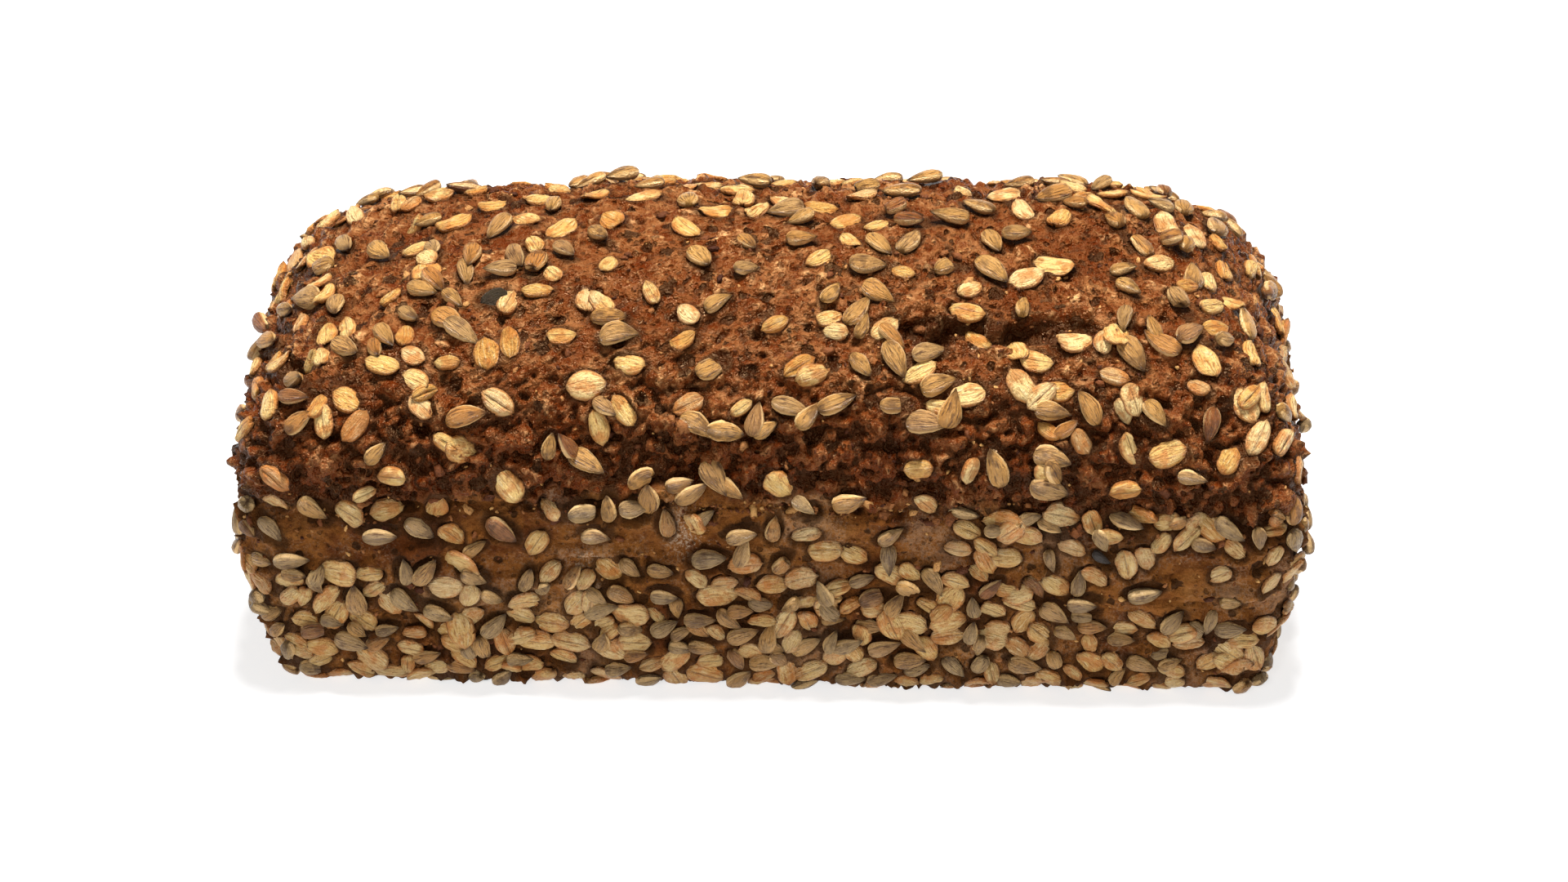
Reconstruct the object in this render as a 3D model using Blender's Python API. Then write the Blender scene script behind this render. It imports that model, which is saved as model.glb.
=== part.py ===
"""A whole grain tin loaf: one solid crust with cereal flakes and sunflower kernels fused on it.

Metres, +Z up. The loaf's length runs along X, the front side faces -Y, and the origin is under its
middle, on the flat base that it rests on.
"""

import math
import random

import bmesh
import bpy
import numpy as np
from mathutils import Matrix, Vector, noise
from mathutils.bvhtree import BVHTree

# Driving dimensions of the crust
LOAF_LENGTH = 0.2480
LOAF_WIDTH = 0.1095
LOAF_HEIGHT = 0.0980
BASE_LENGTH = 0.2350
BASE_WIDTH = 0.1040
DOME_LEAN = 0.0018
LEAN_FADE = 0.020
BASE_FILLET = 0.0050
BASE_CORNER = 0.0080
SHOULDER_CORNER = 0.0120
SHOULDER_HEIGHT = 0.0540
DOME_POWER = 2.35
CROWN_POWER = 2.8
CROWN_SPREAD = 0.5
RIDGE_FROM = 0.008
RIDGE_TO = 0.066

# The rim that the tin left on the crust wanders up and down, with a groove under the dome's lip
RIM_HEIGHT = 0.0480
RIM_WAVE = 0.0035
RIM_WAVES_ROUND = 3
RIM_WAVE_START = 0.09
WALL_BULGE = 1.8
FILLET_SHARE = 0.12
LIP_GROOVE = 0.0018
GROOVE_WAVES_ROUND = 4
GROOVE_WAVE_START = 0.77
GROOVE_BEHIND = 0.15

# Slow swelling of the dough, and the lumps of the torn top crust
SWELL = 0.0018
SWELL_SCALE = 0.045
LUMP = 0.0011
LUMP_SCALE = 0.015

# Smooth bands on the front wall, where the tin pressed the crust outwards: from, to and depth
PRESSED_BANDS = {
    "right_band": ((0.076, 0.118), (0.025, 0.042), 0.0013),
    "left_band": ((-0.122, -0.064), (0.034, 0.045), 0.0008),
}
BAND_ENDS_FADE = 0.006
BAND_FOOT_FADE = 0.004

# Hollows: place round the loaf, place up the side, and half sizes level, upward and inward
HOLLOWS = {
    "burst_bubble": (0.560, 3.282, (0.0056, 0.0038, 0.0050)),
    "torn_dip_left": (0.808, 3.585, (0.0120, 0.0040, 0.0030)),
    "torn_dip_middle": (0.836, 3.560, (0.0110, 0.0036, 0.0034)),
    "torn_dip_right": (0.868, 3.565, (0.0120, 0.0034, 0.0026)),
    "small_pit": (0.675, 3.448, (0.0020, 0.0017, 0.0026)),
    "band_pore": (0.915, 1.858, (0.0026, 0.0022, 0.0026)),
}
HOLLOW_DETAIL = 2

# Grains: how many lie on each part of the loaf, and their sizes
GRAIN_SEED = 11
GRAIN_COUNT = {"floor": 280, "wall": 900, "dome": 350}
GRAIN_GAP = {"floor": 0.80, "wall": 0.56, "dome": 0.72}
FLAKE_SHARE = {"floor": 0.58, "wall": 0.58, "dome": 0.56}
FLAKE_LENGTH = (0.0062, 0.0101)
FLAKE_SLIMNESS = (0.52, 0.78)
FLAKE_THICKNESS = 0.0022
KERNEL_LENGTH = (0.0068, 0.0102)
KERNEL_SLIMNESS = (0.46, 0.60)
KERNEL_THICKNESS = 0.0032
HEADING_SPREAD = 0.75
DRAWS_PER_GRAIN = 36
SEARCH_CELL = 0.016

# How thickly the grains lie, from 0 to 1: full low on the walls and in one row under the lip,
# thin above, least on the smooth band, and in clumps all over
CLUMP_SCALE = 0.021
CLUMPING = 1.1
DOME_CLUMPING = 0.6
FLOOR_CROWDING = 0.8
DOME_CROWDING = 0.56
WALL_CROWDING = 0.26
LOW_WALL_CROWDING = (0.95, 0.55)
LEAST_CROWDING = 0.03
BARE_SHOULDER = (0.058, 0.016, 0.50)
DENSE_BELOW = 0.036
DENSE_WANDER = 0.005
DENSE_WANDER_SCALE = 0.030
DENSE_BELOW_RIGHT = 0.0235
RIGHT_FROM = 0.076
BARE_BAND = 0.0007
LIP_ROW = ((0.050, 0.117), (0.0435, 0.0545))
ELBOW_ROOM = 1.1

# The largest grains, spread evenly, are fused on the solid
FUSED_COUNT = {"wall": 130, "dome": 90}
FUSED_SPACING = {"wall": 0.0120, "dome": 0.0130}
GRAIN_RAISED = {"wall": 0.0001, "dome": 0.0004}
GRAIN_SIDES = 6
GRAIN_RIDGE = 0.42
GRAIN_FOOT = 1.8
LOWEST_GRAIN = 0.0065
REACH_ABOVE = 0.010

CRUST_SEGMENTS_ROUND = 84
CRUST_STATIONS = {"floor": 2, "fillet": 2, "wall": 4, "lip": 3, "dome": 10}

CRUST_COLOUR = (0.155, 0.062, 0.030)
CRUST_ROUGHNESS = 0.62


def clear_scene():
    for thing in list(bpy.data.objects):
        bpy.data.objects.remove(thing)


def even_outline(points, half_x, half_y):
    """Shares of the way round a closed outline, with its x and y as shares of the half sizes."""
    steps = np.hypot(*np.diff(points, axis=0).T)
    way = np.concatenate([[0], np.cumsum(steps)])
    return way / way[-1], points[:, 0] / half_x, points[:, 1] / half_y


def rounded_outline(length, width, radius, steps=16):
    """A rectangle with rounded corners, from the middle of its right end and back to it."""
    points = [(length / 2, 0.0)]
    for quarter, (side_x, side_y) in enumerate([(1, 1), (-1, 1), (-1, -1), (1, -1)]):
        for angle in np.linspace(quarter, quarter + 1, steps) * math.pi / 2:
            x = side_x * (length / 2 - radius) + radius * math.cos(angle)
            y = side_y * (width / 2 - radius) + radius * math.sin(angle)
            points.append((x, y))
    points.append(points[0])
    return even_outline(np.array(points), length / 2, width / 2)


def crown_outline(length, width, steps=2000):
    """The fuller oval that the dome's level rings turn into towards the ridge."""
    angle = np.linspace(0, 2 * math.pi, steps + 1)
    x = np.sign(np.cos(angle)) * np.abs(np.cos(angle)) ** (2 / CROWN_POWER) * length / 2
    y = np.sign(np.sin(angle)) * np.abs(np.sin(angle)) ** (2 / CROWN_POWER) * width / 2
    return even_outline(np.stack([x, y], axis=-1), length / 2, width / 2)


OUTLINES = (
    rounded_outline(BASE_LENGTH, BASE_WIDTH, BASE_CORNER),
    rounded_outline(LOAF_LENGTH, LOAF_WIDTH, SHOULDER_CORNER),
    crown_outline(LOAF_LENGTH, LOAF_WIDTH),
)


def clamp(share):
    return min(1.0, max(LEAST_CROWDING, share))


def ease(share):
    share = np.clip(share, 0, 1)
    return share * share * (3 - 2 * share)


def wave(turn, waves_round, start):
    return np.sin(2 * math.pi * (waves_round * turn + start))


def ring_shape(turn, roundness):
    """A ring's x and y as shares: the base's outline at 0, the shoulder's at 1, the crown's at 2."""
    shapes = [[np.interp(turn, way, axis) for axis in (x, y)] for way, x, y in OUTLINES]
    low = np.clip(roundness, 0, 1)
    high = np.clip(roundness - 1, 0, 1)
    return [
        (foot * (1 - low) + shoulder * low) * (1 - high) + crown * high
        for foot, shoulder, crown in zip(*shapes)
    ]


def groove_depth(turn, y1):
    """How deep the groove under the lip is: mostly along the front, and uneven."""
    front = GROOVE_BEHIND + (1 - GROOVE_BEHIND) * ease(-y1)
    return LIP_GROOVE * front * (0.6 + 0.4 * wave(turn, GROOVE_WAVES_ROUND, GROOVE_WAVE_START))


def crust_points(u, v):
    """Points of the crust: u in 0..1 runs round the loaf, v in 0..4 over floor, wall, lip and dome."""
    turn = np.mod(u, 1.0)
    stage = np.clip(np.floor(v), 0, 3)
    share = v - stage
    theta = share * math.pi / 2
    keep = np.maximum(np.cos(theta), 0) ** (2 / DOME_POWER)
    lift = np.maximum(np.sin(theta), 0) ** (2 / DOME_POWER)
    crown = 1 + (1 - keep) ** CROWN_SPREAD
    roundness = np.select([stage == 0, stage == 1, stage == 2], [0 * v, share, 1 + 0 * v], crown)
    x1, y1 = ring_shape(turn, roundness)

    fillet_angle = np.clip(share / FILLET_SHARE, 0, 1) * math.pi / 2
    rise = np.clip((share - FILLET_SHARE) / (1 - FILLET_SHARE), 0, 1)
    rim = RIM_HEIGHT + RIM_WAVE * wave(turn, RIM_WAVES_ROUND, RIM_WAVE_START)
    wall_z = BASE_FILLET * (1 - np.cos(fillet_angle)) + (rim - BASE_FILLET) * rise
    lip_z = rim + (SHOULDER_HEIGHT - rim) * share
    dome_z = SHOULDER_HEIGHT + (LOAF_HEIGHT - SHOULDER_HEIGHT) * lift
    z = np.select([stage == 0, stage == 1, stage == 2], [0 * v, wall_z, lip_z], dome_z)

    growth = np.select([stage == 0, stage == 1], [0 * v, 1 - (1 - rise) ** WALL_BULGE], 1)
    groove = groove_depth(turn, y1) * np.sin(math.pi * share) ** 2
    tuck = np.select([stage == 1, stage == 2], [BASE_FILLET * (1 - np.sin(fillet_angle)), groove], 0)
    halves = []
    for base, loaf in ((BASE_LENGTH, LOAF_LENGTH), (BASE_WIDTH, LOAF_WIDTH)):
        side = base / 2 + (loaf - base) / 2 * growth - tuck
        halves.append(np.where(stage == 0, (base / 2 - BASE_FILLET) * share, side))

    ridge_x = RIDGE_FROM + (RIDGE_TO - RIDGE_FROM) * (x1 + 1) / 2
    dome_x = ridge_x + (x1 * LOAF_LENGTH / 2 - ridge_x) * keep
    x = np.where(stage < 3, x1 * halves[0], dome_x) - DOME_LEAN * ease((z - rim) / LEAN_FADE)
    y = np.where(stage < 3, y1 * halves[1], y1 * LOAF_WIDTH / 2 * keep)
    return np.stack([x, y, z], axis=-1)


def crust_frames(u, v):
    """Points of the crust, with the outward and the level direction and the area at each."""
    step = 1e-4
    point = crust_points(u, v)
    level = crust_points(u + step, v) - crust_points(u - step, v)
    inside_stage = np.where(v - np.floor(v) > 0.5, -step, step)
    up = (crust_points(u, v + inside_stage) - point) * np.sign(inside_stage)[..., None]
    out = np.cross(level, up)
    area = np.linalg.norm(out, axis=-1)
    out /= np.maximum(area, 1e-15)[..., None]
    level /= np.maximum(np.linalg.norm(level, axis=-1), 1e-15)[..., None]
    return point, out, level, area


def swell_at(place):
    """The dough's slow swelling and its lumps, less on the sides that the tin pressed."""
    high = float(ease((place[2] - RIM_HEIGHT) / 0.012))
    swell = SWELL * (0.25 + 0.75 * high) * noise.noise(Vector(place) / SWELL_SCALE)
    return swell + LUMP * (0.15 + 0.85 * high) * noise.noise(Vector(place) / LUMP_SCALE)


def pressed_at(place):
    """How far a smooth band stands out of the front wall at a point."""
    if place[1] > -0.4 * LOAF_WIDTH:
        return 0.0
    raised = 0.0
    for (left, right), (low, high), depth in PRESSED_BANDS.values():
        along = ease((place[0] - left) / BAND_ENDS_FADE) * ease((right - place[0]) / BAND_ENDS_FADE)
        up = ease((place[2] - low) / BAND_FOOT_FADE) * ease((high - place[2]) / BAND_ENDS_FADE)
        raised += depth * along * up
    return float(raised)


def crust_mesh():
    """A grid rolled round the loaf: rows are levels from the base's middle up to the ridge."""
    stations = list(np.linspace(0, 1, CRUST_STATIONS["floor"] + 1))
    stations += list(1 + np.linspace(0, FILLET_SHARE, CRUST_STATIONS["fillet"] + 1)[1:])
    stations += list(np.linspace(1 + FILLET_SHARE, 2, CRUST_STATIONS["wall"] + 1)[1:-1])
    stations += list(2 + np.linspace(0, 1, CRUST_STATIONS["lip"] + 1))
    stations += list(3 + np.linspace(0, 1, CRUST_STATIONS["dome"] + 1)[1:])
    rows = len(stations) - 1
    mesh = bmesh.new()
    bmesh.ops.create_grid(mesh, x_segments=CRUST_SEGMENTS_ROUND, y_segments=rows, size=1.0)
    u = np.array([(vert.co.x + 1) / 2 for vert in mesh.verts])
    row = np.array([round((vert.co.y + 1) / 2 * rows) for vert in mesh.verts])
    point, out, _, _ = crust_frames(u, np.array(stations)[row])
    for vert, place, outward, high in zip(mesh.verts, point, out, row):
        vert.co = place
        if high == rows:
            vert.co.z += swell_at(place)
        elif place[2] > BASE_FILLET:
            vert.co += Vector(outward) * (swell_at(place) + pressed_at(place))
    bmesh.ops.remove_doubles(mesh, verts=mesh.verts, dist=1e-5)
    bmesh.ops.dissolve_degenerate(mesh, edges=mesh.edges, dist=1e-6)
    bmesh.ops.recalc_face_normals(mesh, faces=mesh.faces)
    return mesh


def crowding(zone, point):
    """How likely a grain is to stick at a point: clumps, bare bands and bare patches."""
    clump = noise.noise(Vector(point) / CLUMP_SCALE)
    if zone == "floor":
        return FLOOR_CROWDING
    if zone == "dome":
        foot, fade, least = BARE_SHOULDER
        above = least + (1 - least) * float(ease((point[2] - foot) / fade))
        return above * clamp(DOME_CROWDING + DOME_CLUMPING * clump)
    front = point[1] < 0
    (left, right), (low, high) = LIP_ROW
    if front and left < point[0] < right and low < point[2] < high:
        return 1.0
    if pressed_at(point) > BARE_BAND:
        return LEAST_CROWDING
    dense_top = DENSE_BELOW + DENSE_WANDER * noise.noise(Vector((*point[:2], 0)) / DENSE_WANDER_SCALE)
    if front and point[0] > RIGHT_FROM:
        dense_top = DENSE_BELOW_RIGHT
    if point[2] < dense_top:
        middle, least = LOW_WALL_CROWDING
        return max(least, clamp(middle + clump))
    return clamp(WALL_CROWDING + CLUMPING * clump)


def draw_grain(draw, zone):
    """One grain's kind and size."""
    kind = "flake" if draw.random() < FLAKE_SHARE[zone] else "kernel"
    if kind == "flake":
        length = draw.uniform(*FLAKE_LENGTH)
        width = length * draw.uniform(*FLAKE_SLIMNESS)
        thickness = FLAKE_THICKNESS
    else:
        length = draw.uniform(*KERNEL_LENGTH)
        width = length * draw.uniform(*KERNEL_SLIMNESS)
        thickness = KERNEL_THICKNESS
    return {"kind": kind, "length": length, "width": width, "thickness": thickness}


def too_close(grain, others, gap):
    """Whether a grain's three discs come too near those of a grain that is already there."""
    reach = (grain["length"] - grain["width"]) / 2
    discs = [grain["middle"] + grain["heading"] * reach * end for end in (-1, 0, 1)]
    for other in others:
        limit = (grain["width"] + other["width"]) / 2 * gap
        if (other["middle"] - grain["middle"]).length > reach + other["reach"] + limit:
            continue
        if any((a - b).length < limit for a in discs for b in other["discs"]):
            return True
    grain["discs"] = discs
    grain["reach"] = reach
    return False


def neighbours(taken, key):
    """The grains that lie in this cell and the cells round it."""
    steps = (-1, 0, 1)
    around = [(key[0] + x, key[1] + y, key[2] + z) for x in steps for y in steps for z in steps]
    return [grain for cell in around for grain in taken.get(cell, ())]


def scatter_grains():
    """Throws grains at the crust one after another and keeps those that find room."""
    draw = random.Random(GRAIN_SEED)
    taken = {}
    grains = []
    for zone, count in GRAIN_COUNT.items():
        tries = count * DRAWS_PER_GRAIN
        u = np.array([draw.random() for _ in range(tries)])
        share = np.array([draw.random() for _ in range(tries)])
        v = {"floor": share, "wall": 1 + 1.75 * share, "dome": 2.75 + 1.25 * share}[zone]
        point, out, level, area = crust_frames(u, v)
        found = 0
        for at, outward, sideways, share_of_area in zip(point, out, level, area / area.max()):
            chance = draw.random()
            spin = draw.gauss(0, HEADING_SPREAD)
            grain = draw_grain(draw, zone)
            crowd = crowding(zone, at)
            if found >= count or chance > share_of_area * crowd:
                continue
            grain["zone"] = zone
            grain["middle"] = Vector(at)
            grain["out"] = Vector(outward)
            grain["heading"] = Matrix.Rotation(spin, 3, Vector(outward)) @ Vector(sideways)
            key = tuple(math.floor(c / SEARCH_CELL) for c in at)
            gap = GRAIN_GAP[zone] * (1 + ELBOW_ROOM * (1 - crowd) ** 2)
            if too_close(grain, neighbours(taken, key), gap):
                continue
            taken.setdefault(key, []).append(grain)
            grains.append(grain)
            found += 1
    return grains


def largest_spread_out(grains, zone):
    """The largest grains of a zone that keep their distance from one another."""
    chosen = []
    for grain in sorted(grains, key=lambda grain: -grain["length"] * grain["width"]):
        if grain["zone"] != zone or grain["middle"].z < LOWEST_GRAIN:
            continue
        apart = [(grain["middle"] - other["middle"]).length for other in chosen]
        if min(apart, default=1.0) > FUSED_SPACING[zone]:
            chosen.append(grain)
    return chosen[: FUSED_COUNT[zone]]


def lay_on(mesh, crust, middle, out, heading, raised):
    """Turns a mesh to lie flat on the crust's face under a point, raised by a given height."""
    under, up = crust.ray_cast(middle + out * REACH_ABOVE, -out, 2 * REACH_ABOVE)[:2]
    along = (heading - up * heading.dot(up)).normalized()
    turn = Matrix((along, up.cross(along), up)).transposed().to_4x4()
    place = Matrix.Translation(under + up * raised) @ turn
    bmesh.ops.transform(mesh, matrix=place, verts=mesh.verts)


def grain_mesh(grain):
    """A low mound with a ridge along it: a flake is an even oval, a kernel is a pointed drop."""
    pointed = 0.30 if grain["kind"] == "kernel" else 0.0
    corners = [(-GRAIN_RIDGE, 0, 1), (GRAIN_RIDGE, 0, 1), (0, 0, -GRAIN_FOOT)]
    for side in range(GRAIN_SIDES):
        angle = 2 * math.pi * side / GRAIN_SIDES
        along = math.cos(angle)
        corners.append((along, math.sin(angle) * (1 - pointed * along), 0))
    mesh = bmesh.new()
    half = (grain["length"] / 2, grain["width"] / 2, grain["thickness"] / 2)
    for corner in corners:
        mesh.verts.new([c * h for c, h in zip(corner, half)])
    bmesh.ops.convex_hull(mesh, input=mesh.verts)
    bmesh.ops.recalc_face_normals(mesh, faces=mesh.faces)
    return mesh


def hollow_mesh(half_sizes):
    mesh = bmesh.new()
    bmesh.ops.create_icosphere(mesh, subdivisions=HOLLOW_DETAIL, radius=1.0)
    bmesh.ops.scale(mesh, vec=half_sizes, verts=mesh.verts)
    return mesh


def material_for(name, colour, roughness):
    material = bpy.data.materials.new(name)
    material.use_nodes = True
    shader = material.node_tree.nodes["Principled BSDF"]
    shader.inputs["Base Color"].default_value = (*colour, 1.0)
    shader.inputs["Roughness"].default_value = roughness
    shader.inputs["Metallic"].default_value = 0.0
    return material


def object_from(mesh, name, collection):
    data = bpy.data.meshes.new(name)
    mesh.to_mesh(data)
    mesh.free()
    thing = bpy.data.objects.new(name, data)
    collection.objects.link(thing)
    return thing


def collection_for(name):
    collection = bpy.data.collections.new(name)
    bpy.context.scene.collection.children.link(collection)
    return collection


def combine(loaf, operation, helpers):
    """Applies one Boolean with a whole collection, then removes the collection's objects."""
    boolean = loaf.modifiers.new(operation.lower(), "BOOLEAN")
    boolean.operation = operation
    boolean.solver = "MANIFOLD"
    boolean.operand_type = "COLLECTION"
    boolean.collection = helpers
    bpy.context.view_layer.objects.active = loaf
    bpy.ops.object.modifier_apply(modifier=boolean.name)
    for thing in list(helpers.objects):
        bpy.data.objects.remove(thing)
    bpy.data.collections.remove(helpers)


def crust_tree(loaf):
    corners = [vert.co for vert in loaf.data.vertices]
    return BVHTree.FromPolygons(corners, [face.vertices for face in loaf.data.polygons])


def fuse_grains(loaf, crust):
    """Joins the largest grains of the walls and the dome to the crust as one solid."""
    loose = collection_for("loose_grains")
    grains = scatter_grains()
    for zone in FUSED_COUNT:
        for number, grain in enumerate(largest_spread_out(grains, zone)):
            mesh = grain_mesh(grain)
            raised = GRAIN_RAISED[zone]
            lay_on(mesh, crust, grain["middle"], grain["out"], grain["heading"], raised)
            object_from(mesh, f"{zone}_grain_{number:03d}", loose)
    combine(loaf, "UNION", loose)


def cut_hollows(loaf, crust):
    """Cuts the burst bubble, the torn dip on the right and the larger pores out of the crust."""
    cutters = collection_for("hollow_cutters")
    for name, (turn, height, half_sizes) in HOLLOWS.items():
        point, out, level, _ = crust_frames(np.array([turn]), np.array([height]))
        mesh = hollow_mesh(half_sizes)
        lay_on(mesh, crust, Vector(point[0]), Vector(out[0]), Vector(level[0]), 0.0)
        object_from(mesh, name, cutters)
    combine(loaf, "DIFFERENCE", cutters)


def main():
    clear_scene()
    bread = collection_for("whole_grain_loaf")
    loaf = object_from(crust_mesh(), "loaf", bread)
    loaf.data.materials.append(material_for("crust", CRUST_COLOUR, CRUST_ROUGHNESS))
    crust = crust_tree(loaf)
    cut_hollows(loaf, crust)
    fuse_grains(loaf, crust)
    loaf.data.shade_smooth()
    loaf.data.set_sharp_from_angle(angle=math.radians(40))


main()
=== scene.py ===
import math
import random

import bpy
import numpy as np
from mathutils import Matrix, Vector, noise
from mathutils.bvhtree import BVHTree
from mathutils.kdtree import KDTree


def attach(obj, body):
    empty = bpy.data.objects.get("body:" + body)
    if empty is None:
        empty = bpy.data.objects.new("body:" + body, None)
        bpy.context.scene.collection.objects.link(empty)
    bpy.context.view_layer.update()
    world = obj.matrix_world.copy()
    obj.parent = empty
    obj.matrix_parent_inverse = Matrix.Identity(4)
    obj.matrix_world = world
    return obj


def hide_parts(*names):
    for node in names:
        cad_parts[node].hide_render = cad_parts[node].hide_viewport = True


# A whole grain tin loaf: dark baked crust, cereal flakes, sunflower kernels and loose bran.
# Metres, +Z up, length along X, front towards -Y, standing on its base at z 0.

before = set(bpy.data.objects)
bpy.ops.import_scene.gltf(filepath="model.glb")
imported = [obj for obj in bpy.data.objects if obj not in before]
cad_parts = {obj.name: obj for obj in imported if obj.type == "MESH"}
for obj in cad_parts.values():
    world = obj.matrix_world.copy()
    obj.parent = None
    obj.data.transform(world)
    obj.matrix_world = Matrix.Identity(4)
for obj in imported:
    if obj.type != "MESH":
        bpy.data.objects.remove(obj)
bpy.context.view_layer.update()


# Small helpers for numbers


def ease(share):
    share = np.clip(share, 0, 1)
    return share * share * (3 - 2 * share)


def wave(turn, wavesRound, start):
    return np.sin(2 * math.pi * (wavesRound * turn + start))


def softNoise(places, size, offset=(0.0, 0.0, 0.0)):
    shifted = places / size + np.array(offset)
    return np.array([noise.noise(Vector(place)) for place in shifted])


def lumpNoise(places, size, octaves, offset=(0.0, 0.0, 0.0)):
    # rounded lumps with sharp valleys between them
    shifted = places / size + np.array(offset)
    return np.array([noise.turbulence(Vector(place), octaves, True) for place in shifted])


def paint(red, green, blue):
    # a colour as seen on a screen, 0 to 255, turned into the linear one that shaders take
    shares = [c / 255 for c in (red, green, blue)]
    return tuple(c / 12.92 if c < 0.04045 else ((c + 0.055) / 1.055) ** 2.4 for c in shares) + (1.0,)


# The form of the crust, by the same sizes and rules as the solid's

loafForm = {
    "length": 0.2480,
    "width": 0.1095,
    "height": 0.0980,
    "baseLength": 0.2350,
    "baseWidth": 0.1040,
    "domeLean": 0.0018,
    "leanFade": 0.020,
    "baseFillet": 0.0050,
    "baseCorner": 0.0080,
    "shoulderCorner": 0.0120,
    "shoulderHeight": 0.0540,
    "domePower": 2.35,
    "crownPower": 2.8,
    "crownSpread": 0.5,
    "ridgeFrom": 0.008,
    "ridgeTo": 0.066,
    "rimHeight": 0.0480,
    "rimWave": 0.0035,
    "rimWavesRound": 3,
    "rimWaveStart": 0.09,
    "wallBulge": 1.8,
    "filletShare": 0.12,
    "lipGroove": 0.0018,
    "grooveWavesRound": 4,
    "grooveWaveStart": 0.77,
    "grooveBehind": 0.15,
    "swell": 0.0018,
    "swellScale": 0.045,
    "lump": 0.0011,
    "lumpScale": 0.015,
    # smooth bands that the tin pressed on the front: from and to along x, along z, and depth
    "rightBand": ((0.076, 0.118), (0.025, 0.042), 0.0013),
    "leftBand": ((-0.122, -0.064), (0.034, 0.045), 0.0008),
    "bandEndsFade": 0.006,
    "bandFootFade": 0.004,
    # hollows: place round, place up, half sizes level, upward and inward
    "burstBubble": (0.560, 3.282, (0.0056, 0.0038, 0.0050)),
    "tornDipLeft": (0.808, 3.585, (0.0120, 0.0040, 0.0030)),
    "tornDipMiddle": (0.836, 3.560, (0.0110, 0.0036, 0.0034)),
    "tornDipRight": (0.868, 3.565, (0.0120, 0.0034, 0.0026)),
    "smallPit": (0.675, 3.448, (0.0020, 0.0017, 0.0026)),
    "bandPore": (0.915, 1.858, (0.0026, 0.0022, 0.0026)),
}
hollowNames = ("burstBubble", "tornDipLeft", "tornDipMiddle", "tornDipRight", "smallPit", "bandPore")


def evenOutline(points, halfX, halfY):
    steps = np.hypot(*np.diff(points, axis=0).T)
    way = np.concatenate([[0], np.cumsum(steps)])
    return way / way[-1], points[:, 0] / halfX, points[:, 1] / halfY


def roundedOutline(length, width, radius, steps=16):
    points = [(length / 2, 0.0)]
    for quarter, (sideX, sideY) in enumerate([(1, 1), (-1, 1), (-1, -1), (1, -1)]):
        for angle in np.linspace(quarter, quarter + 1, steps) * math.pi / 2:
            x = sideX * (length / 2 - radius) + radius * math.cos(angle)
            y = sideY * (width / 2 - radius) + radius * math.sin(angle)
            points.append((x, y))
    points.append(points[0])
    return evenOutline(np.array(points), length / 2, width / 2)


def crownOutline(length, width, power, steps=2000):
    angle = np.linspace(0, 2 * math.pi, steps + 1)
    x = np.sign(np.cos(angle)) * np.abs(np.cos(angle)) ** (2 / power) * length / 2
    y = np.sign(np.sin(angle)) * np.abs(np.sin(angle)) ** (2 / power) * width / 2
    return evenOutline(np.stack([x, y], axis=-1), length / 2, width / 2)


outlines = (
    roundedOutline(loafForm["baseLength"], loafForm["baseWidth"], loafForm["baseCorner"]),
    roundedOutline(loafForm["length"], loafForm["width"], loafForm["shoulderCorner"]),
    crownOutline(loafForm["length"], loafForm["width"], loafForm["crownPower"]),
)


def ringShape(turn, roundness):
    # the base's outline at 0, the shoulder's at 1, the crown's at 2
    shapes = [[np.interp(turn, way, axis) for axis in (x, y)] for way, x, y in outlines]
    low = np.clip(roundness, 0, 1)
    high = np.clip(roundness - 1, 0, 1)
    return [
        (foot * (1 - low) + shoulder * low) * (1 - high) + crown * high
        for foot, shoulder, crown in zip(*shapes)
    ]


def rimAt(turn):
    form = loafForm
    return form["rimHeight"] + form["rimWave"] * wave(turn, form["rimWavesRound"], form["rimWaveStart"])


def grooveAt(turn, y1):
    form = loafForm
    behind = form["grooveBehind"]
    uneven = 0.6 + 0.4 * wave(turn, form["grooveWavesRound"], form["grooveWaveStart"])
    return form["lipGroove"] * (behind + (1 - behind) * ease(-y1)) * uneven


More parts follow.
